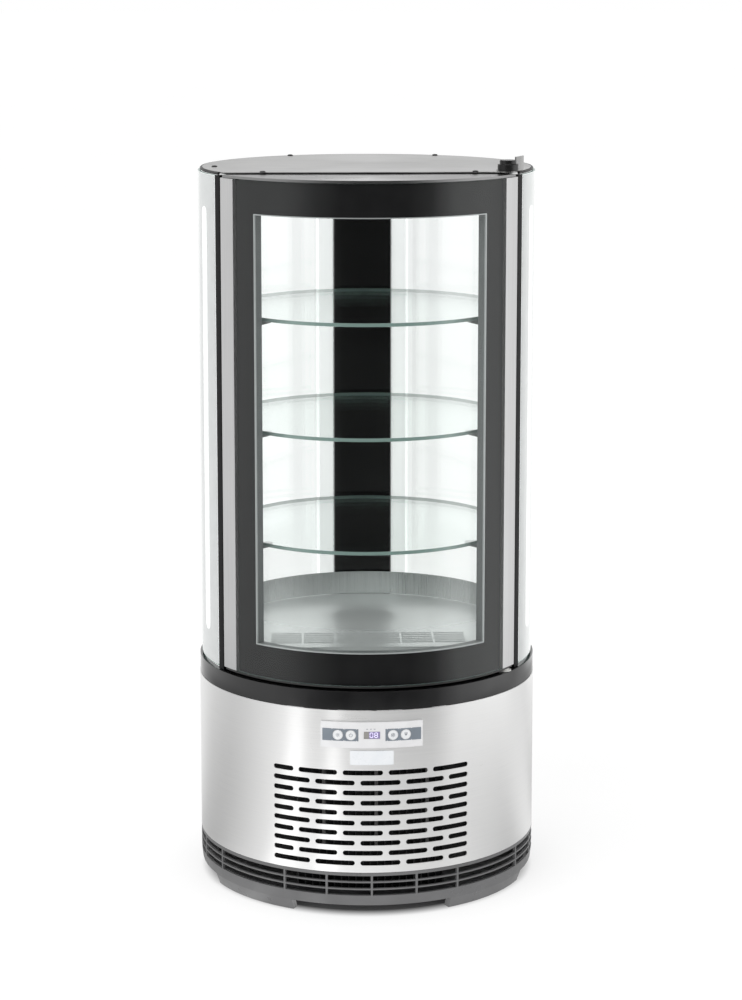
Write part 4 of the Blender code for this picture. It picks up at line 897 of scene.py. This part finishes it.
# Upper hinge.
# Bent steel plate screwed to the cover, a pin through it and a stepped black cap pressed on top.
hinge_steel = brushed_steel("hinge steel", (0.30, 0.30, 0.296), (0.37, 0.37, 0.366), 0.30,
                            (900.0, 900.0, 20.0), False, 0.2)
finished_piece("upper_hinge_bracket", hinge_steel, 0.0003)
hinge_low, hinge_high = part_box("hinge_cap")
hinge_line = ((hinge_low.x + hinge_high.x) / 2, (hinge_low.y + hinge_high.y) / 2)
finished_piece("hinge_cap", moulded_plastic("hinge cap black", (0.006, 0.006, 0.006), (0.010, 0.010, 0.010),
                                            0.28), 0.0008, hinge_line)
finished_piece("lower_hinge_bushing", moulded_plastic("bushing white", (0.72, 0.72, 0.70),
                                                      (0.78, 0.78, 0.76), 0.4), 0.0003, hinge_line)
bracket_low, bracket_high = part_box("upper_hinge_bracket")
bracket_sheet = 0.0017
for number, (share, back) in enumerate(((0.25, 0.008), (0.62, 0.012)), 1):
    screw_x = bracket_low.x + (bracket_high.x - bracket_low.x) * share
    screw_head(f"hinge_screw_{number}", (screw_x, bracket_high.y - back, bracket_low.z + bracket_sheet),
               0.0032, 0.0016)


# Door strips.
# Brushed aluminium profiles that edge the door; the left one is the handle, the right one the hinge.
strip_aluminium = brushed_steel("strip aluminium", (0.56, 0.56, 0.56), (0.62, 0.62, 0.62), 0.38,
                                (1100.0, 1100.0, 8.0), True, 0.5)
finished_piece("handle_strip", strip_aluminium, 0.0008)
finished_piece("hinge_strip", strip_aluminium, 0.0008)


# Door glass, frame and spacer.
# Two bent panes with a black printed border; a pierced aluminium spacer shows just inside the window.
door_look = ((0.985, 0.996, 0.990), (0.10, 0.14, 0.13), True, 0.04, 0.8)
finished_piece("door_outer_glass", clear_glass("door glass", *door_look), 0.0004, one_skin=True)
window_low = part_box("door_spacer")[0]
mist = (window_low.z, 0.105, 0.42, (0.72, 0.76, 0.75))
finished_piece("door_inner_glass", clear_glass("misted glass", *door_look, mist), 0.0004, one_skin=True)
door_print = polished_black("door print", 0.30, 0.010, 0.05)
finished_piece("door_frame", door_print, 0.0)
dress(moulded_plastic("rail black", (0.012, 0.012, 0.012), (0.018, 0.018, 0.018), 0.35), "door_bottom_rail",
      "door_top_rail", "door_bottom_cap")
dress(moulded_plastic("gasket rubber", (0.020, 0.020, 0.020), (0.030, 0.030, 0.030), 0.6, 1300.0),
      "door_gasket")


def pierced_spacer(name):
    """Grey spacer pierced in rows, with a paler outer lip."""
    lip_start, lip_end = 0.2146, 0.2152
    surface, shader, tree = blank_finish(name)
    place = place_on_case(tree)
    dots = add_node(tree, "ShaderNodeTexWave", {"Vector": place, "Scale": 150.0}, wave_type="BANDS",
                    bands_direction="Z", wave_profile="SIN").outputs["Fac"]
    pierced = two_tone(tree, ranged(tree, dots, 0.0, 1.0, 0.3, 0.9), (0.085, 0.095, 0.095),
                       (0.17, 0.185, 0.185))
    flat = add_node(tree, "ShaderNodeVectorMath", {0: place, 1: (1.0, 1.0, 0.0)}, operation="MULTIPLY")
    outward = add_node(tree, "ShaderNodeVectorMath", {0: flat.outputs["Vector"]}, operation="LENGTH")
    share = ranged(tree, outward.outputs["Value"], 0.0, 1.0, lip_start, lip_end)
    lip = add_node(tree, "ShaderNodeMix", {0: share, 6: pierced, 7: (0.42, 0.44, 0.44, 1.0)},
                   data_type="RGBA")
    fill(shader, {"Base Color": lip.outputs[2], "Metallic": 0.3, "Roughness": 0.4})
    roughened(tree, shader, dots, 0.3, 0.0002)
    return surface


finished_piece("door_spacer", pierced_spacer("pierced spacer"), 0.0)


# Photographer's set.
# Endless white paper under and round the case. Gloss sees black flags in front at eye level, white
# walls at both sides, and above and close by on the floor the strip lights that band the steel.
eye_level_walls = ((-180, 1.0), (-95, 0.95), (-62, 1.0), (-52, 0.85), (-36, 0.35), (-18, 0.05), (26, 0.04),
                   (42, 0.30), (60, 1.45), (84, 1.65), (98, 1.35), (110, 0.9), (126, 0.9), (138, 1.3),
                   (160, 1.2), (180, 1.0))
strip_lights = ((-180, 1.05), (-148, 0.95), (-134, 0.75), (-120, 0.54), (-104, 0.46), (-94, 0.46),
                (-84, 0.56), (-67, 0.82), (-52, 1.06), (-47, 1.75), (-41, 1.75), (-38, 1.15), (-27, 1.15),
                (-23, 1.85), (-19, 1.85), (-15, 1.20), (-3, 1.15), (26, 0.97), (47, 0.76), (62, 0.58),
                (78, 0.51), (88, 0.57), (97, 0.77), (107, 0.90), (117, 0.88), (130, 0.64), (146, 0.62),
                (164, 1.0), (180, 1.05))


def band_of_lights(tree, share, stops):
    """Brightness all round the case, from a table of directions and levels."""
    brightest = 2.0
    curve = add_node(tree, "ShaderNodeFloatCurve", {"Value": share})
    points = curve.mapping.curves[0].points
    while len(points) < len(stops):
        points.new(0.5, 0.5)
    for point, (degrees, level) in zip(points, stops):
        point.location = ((degrees + 180) / 360, level / brightest)
        point.handle_type = "VECTOR"
    curve.mapping.update()
    return calculated(tree, "MULTIPLY", curve.outputs["Value"], brightest)


def studio_light(tree, direction, nearness):
    """What gloss sees: the walls at eye level, blended into the strip lights by nearness."""
    parts = add_node(tree, "ShaderNodeSeparateXYZ", {"Vector": direction}).outputs
    bearing = calculated(tree, "ARCTAN2", parts["X"], calculated(tree, "MULTIPLY", parts["Y"], -1.0))
    share = ranged(tree, bearing, 0.0, 1.0, -math.pi, math.pi)
    both = {0: nearness, 2: band_of_lights(tree, share, eye_level_walls),
            3: band_of_lights(tree, share, strip_lights)}
    return add_node(tree, "ShaderNodeMix", both, data_type="FLOAT").outputs[0]


world = bpy.data.worlds.new("studio")
bpy.context.scene.world = world
world.use_nodes = True
sky = world.node_tree
sky.nodes.clear()


def surroundings(strength):
    """White all round, of one brightness."""
    return add_node(sky, "ShaderNodeBackground", {"Color": (1.0, 1.0, 1.0, 1.0),
                                                  "Strength": strength}).outputs["Background"]


ray = add_node(sky, "ShaderNodeLightPath", {}).outputs
direction = add_node(sky, "ShaderNodeTexCoord", {}).outputs["Generated"]
rise = add_node(sky, "ShaderNodeSeparateXYZ", {"Vector": direction}).outputs["Z"]
mirrored = studio_light(sky, direction, ranged(sky, rise, 0.0, 1.0, 0.12, 0.30))
for_gloss = mixed(sky, ray["Is Glossy Ray"], surroundings(0.80), surroundings(mirrored))
seen = calculated(sky, "MAXIMUM", ray["Is Camera Ray"], ray["Is Transmission Ray"])
add_node(sky, "ShaderNodeOutputWorld", {"Surface": mixed(sky, seen, for_gloss, surroundings(1.0))})
world.cycles.sampling_method = "NONE"

floor_mesh = bmesh.new()
bmesh.ops.create_grid(floor_mesh, x_segments=2, y_segments=2, size=60.0)
floor_data = bpy.data.meshes.new("floor")
floor_mesh.to_mesh(floor_data)
floor_mesh.free()
floor = bpy.data.objects.new("floor", floor_data)
floor.location = (0.0, 0.0, drawn_box[0][2] - 0.0002)
bpy.context.collection.objects.link(floor)
paper, paper_shader, paper_tree = blank_finish("floor paper")
floor_data.materials.append(paper)
paper_place = place_on_case(paper_tree)
reach = add_node(paper_tree, "ShaderNodeVectorMath", {0: paper_place}, operation="LENGTH").outputs["Value"]
# The paper's glow fades to nothing under the case, so the floor beneath it is a painted shadow.
fill(paper_shader, {"Base Color": patches(paper_tree, paper_place, 1.5, (0.40, 0.40, 0.40),
                                          (0.42, 0.42, 0.42)),
                    "Roughness": 0.9, "Specular IOR Level": 0.0, "Emission Color": (1.0, 1.0, 1.0, 1.0),
                    "Emission Strength": ranged(paper_tree, reach, 0.0, 0.68, 0.20, 0.226)})
near_light = studio_light(paper_tree, paper_place, ranged(paper_tree, reach, 1.0, 0.0, 1.14, 1.20))
glow = add_node(paper_tree, "ShaderNodeEmission", {"Strength": near_light}).outputs["Emission"]
paper_ray = add_node(paper_tree, "ShaderNodeLightPath", {}).outputs
fill(paper_tree.nodes["Material Output"],
     {"Surface": mixed(paper_tree, paper_ray["Is Glossy Ray"], paper_shader.outputs["BSDF"], glow)})
paper.cycles.emission_sampling = "NONE"

softbox = bpy.data.lights.new("softbox", "AREA")
softbox.shape = "RECTANGLE"
softbox.size, softbox.size_y = 3.0, 2.2
softbox.energy = 30.0
softbox_stand = bpy.data.objects.new("softbox", softbox)
softbox_stand.location = (-1.6, -2.2, 3.2)
aim = Vector((0, 0, 0.5)) - softbox_stand.location
softbox_stand.rotation_euler = aim.to_track_quat("-Z", "Y").to_euler()
softbox_stand.visible_glossy = False
bpy.context.collection.objects.link(softbox_stand)

lens = bpy.data.cameras.new("photo camera")
lens.sensor_fit = "VERTICAL"
lens.sensor_height = 36.0
lens.sensor_width = 36.0
lens.lens = 97.31
lens.shift_y = -0.10
lens.clip_end = 100.0
tripod = bpy.data.objects.new("photo camera", lens)
tripod.location = (-0.1058, -3.5556, 1.2183)
tripod.rotation_euler = (math.radians(80.737), 0.0, math.radians(-1.8))
bpy.context.collection.objects.link(tripod)
bpy.context.scene.camera = tripod
bpy.context.scene.view_settings.view_transform = "Standard"
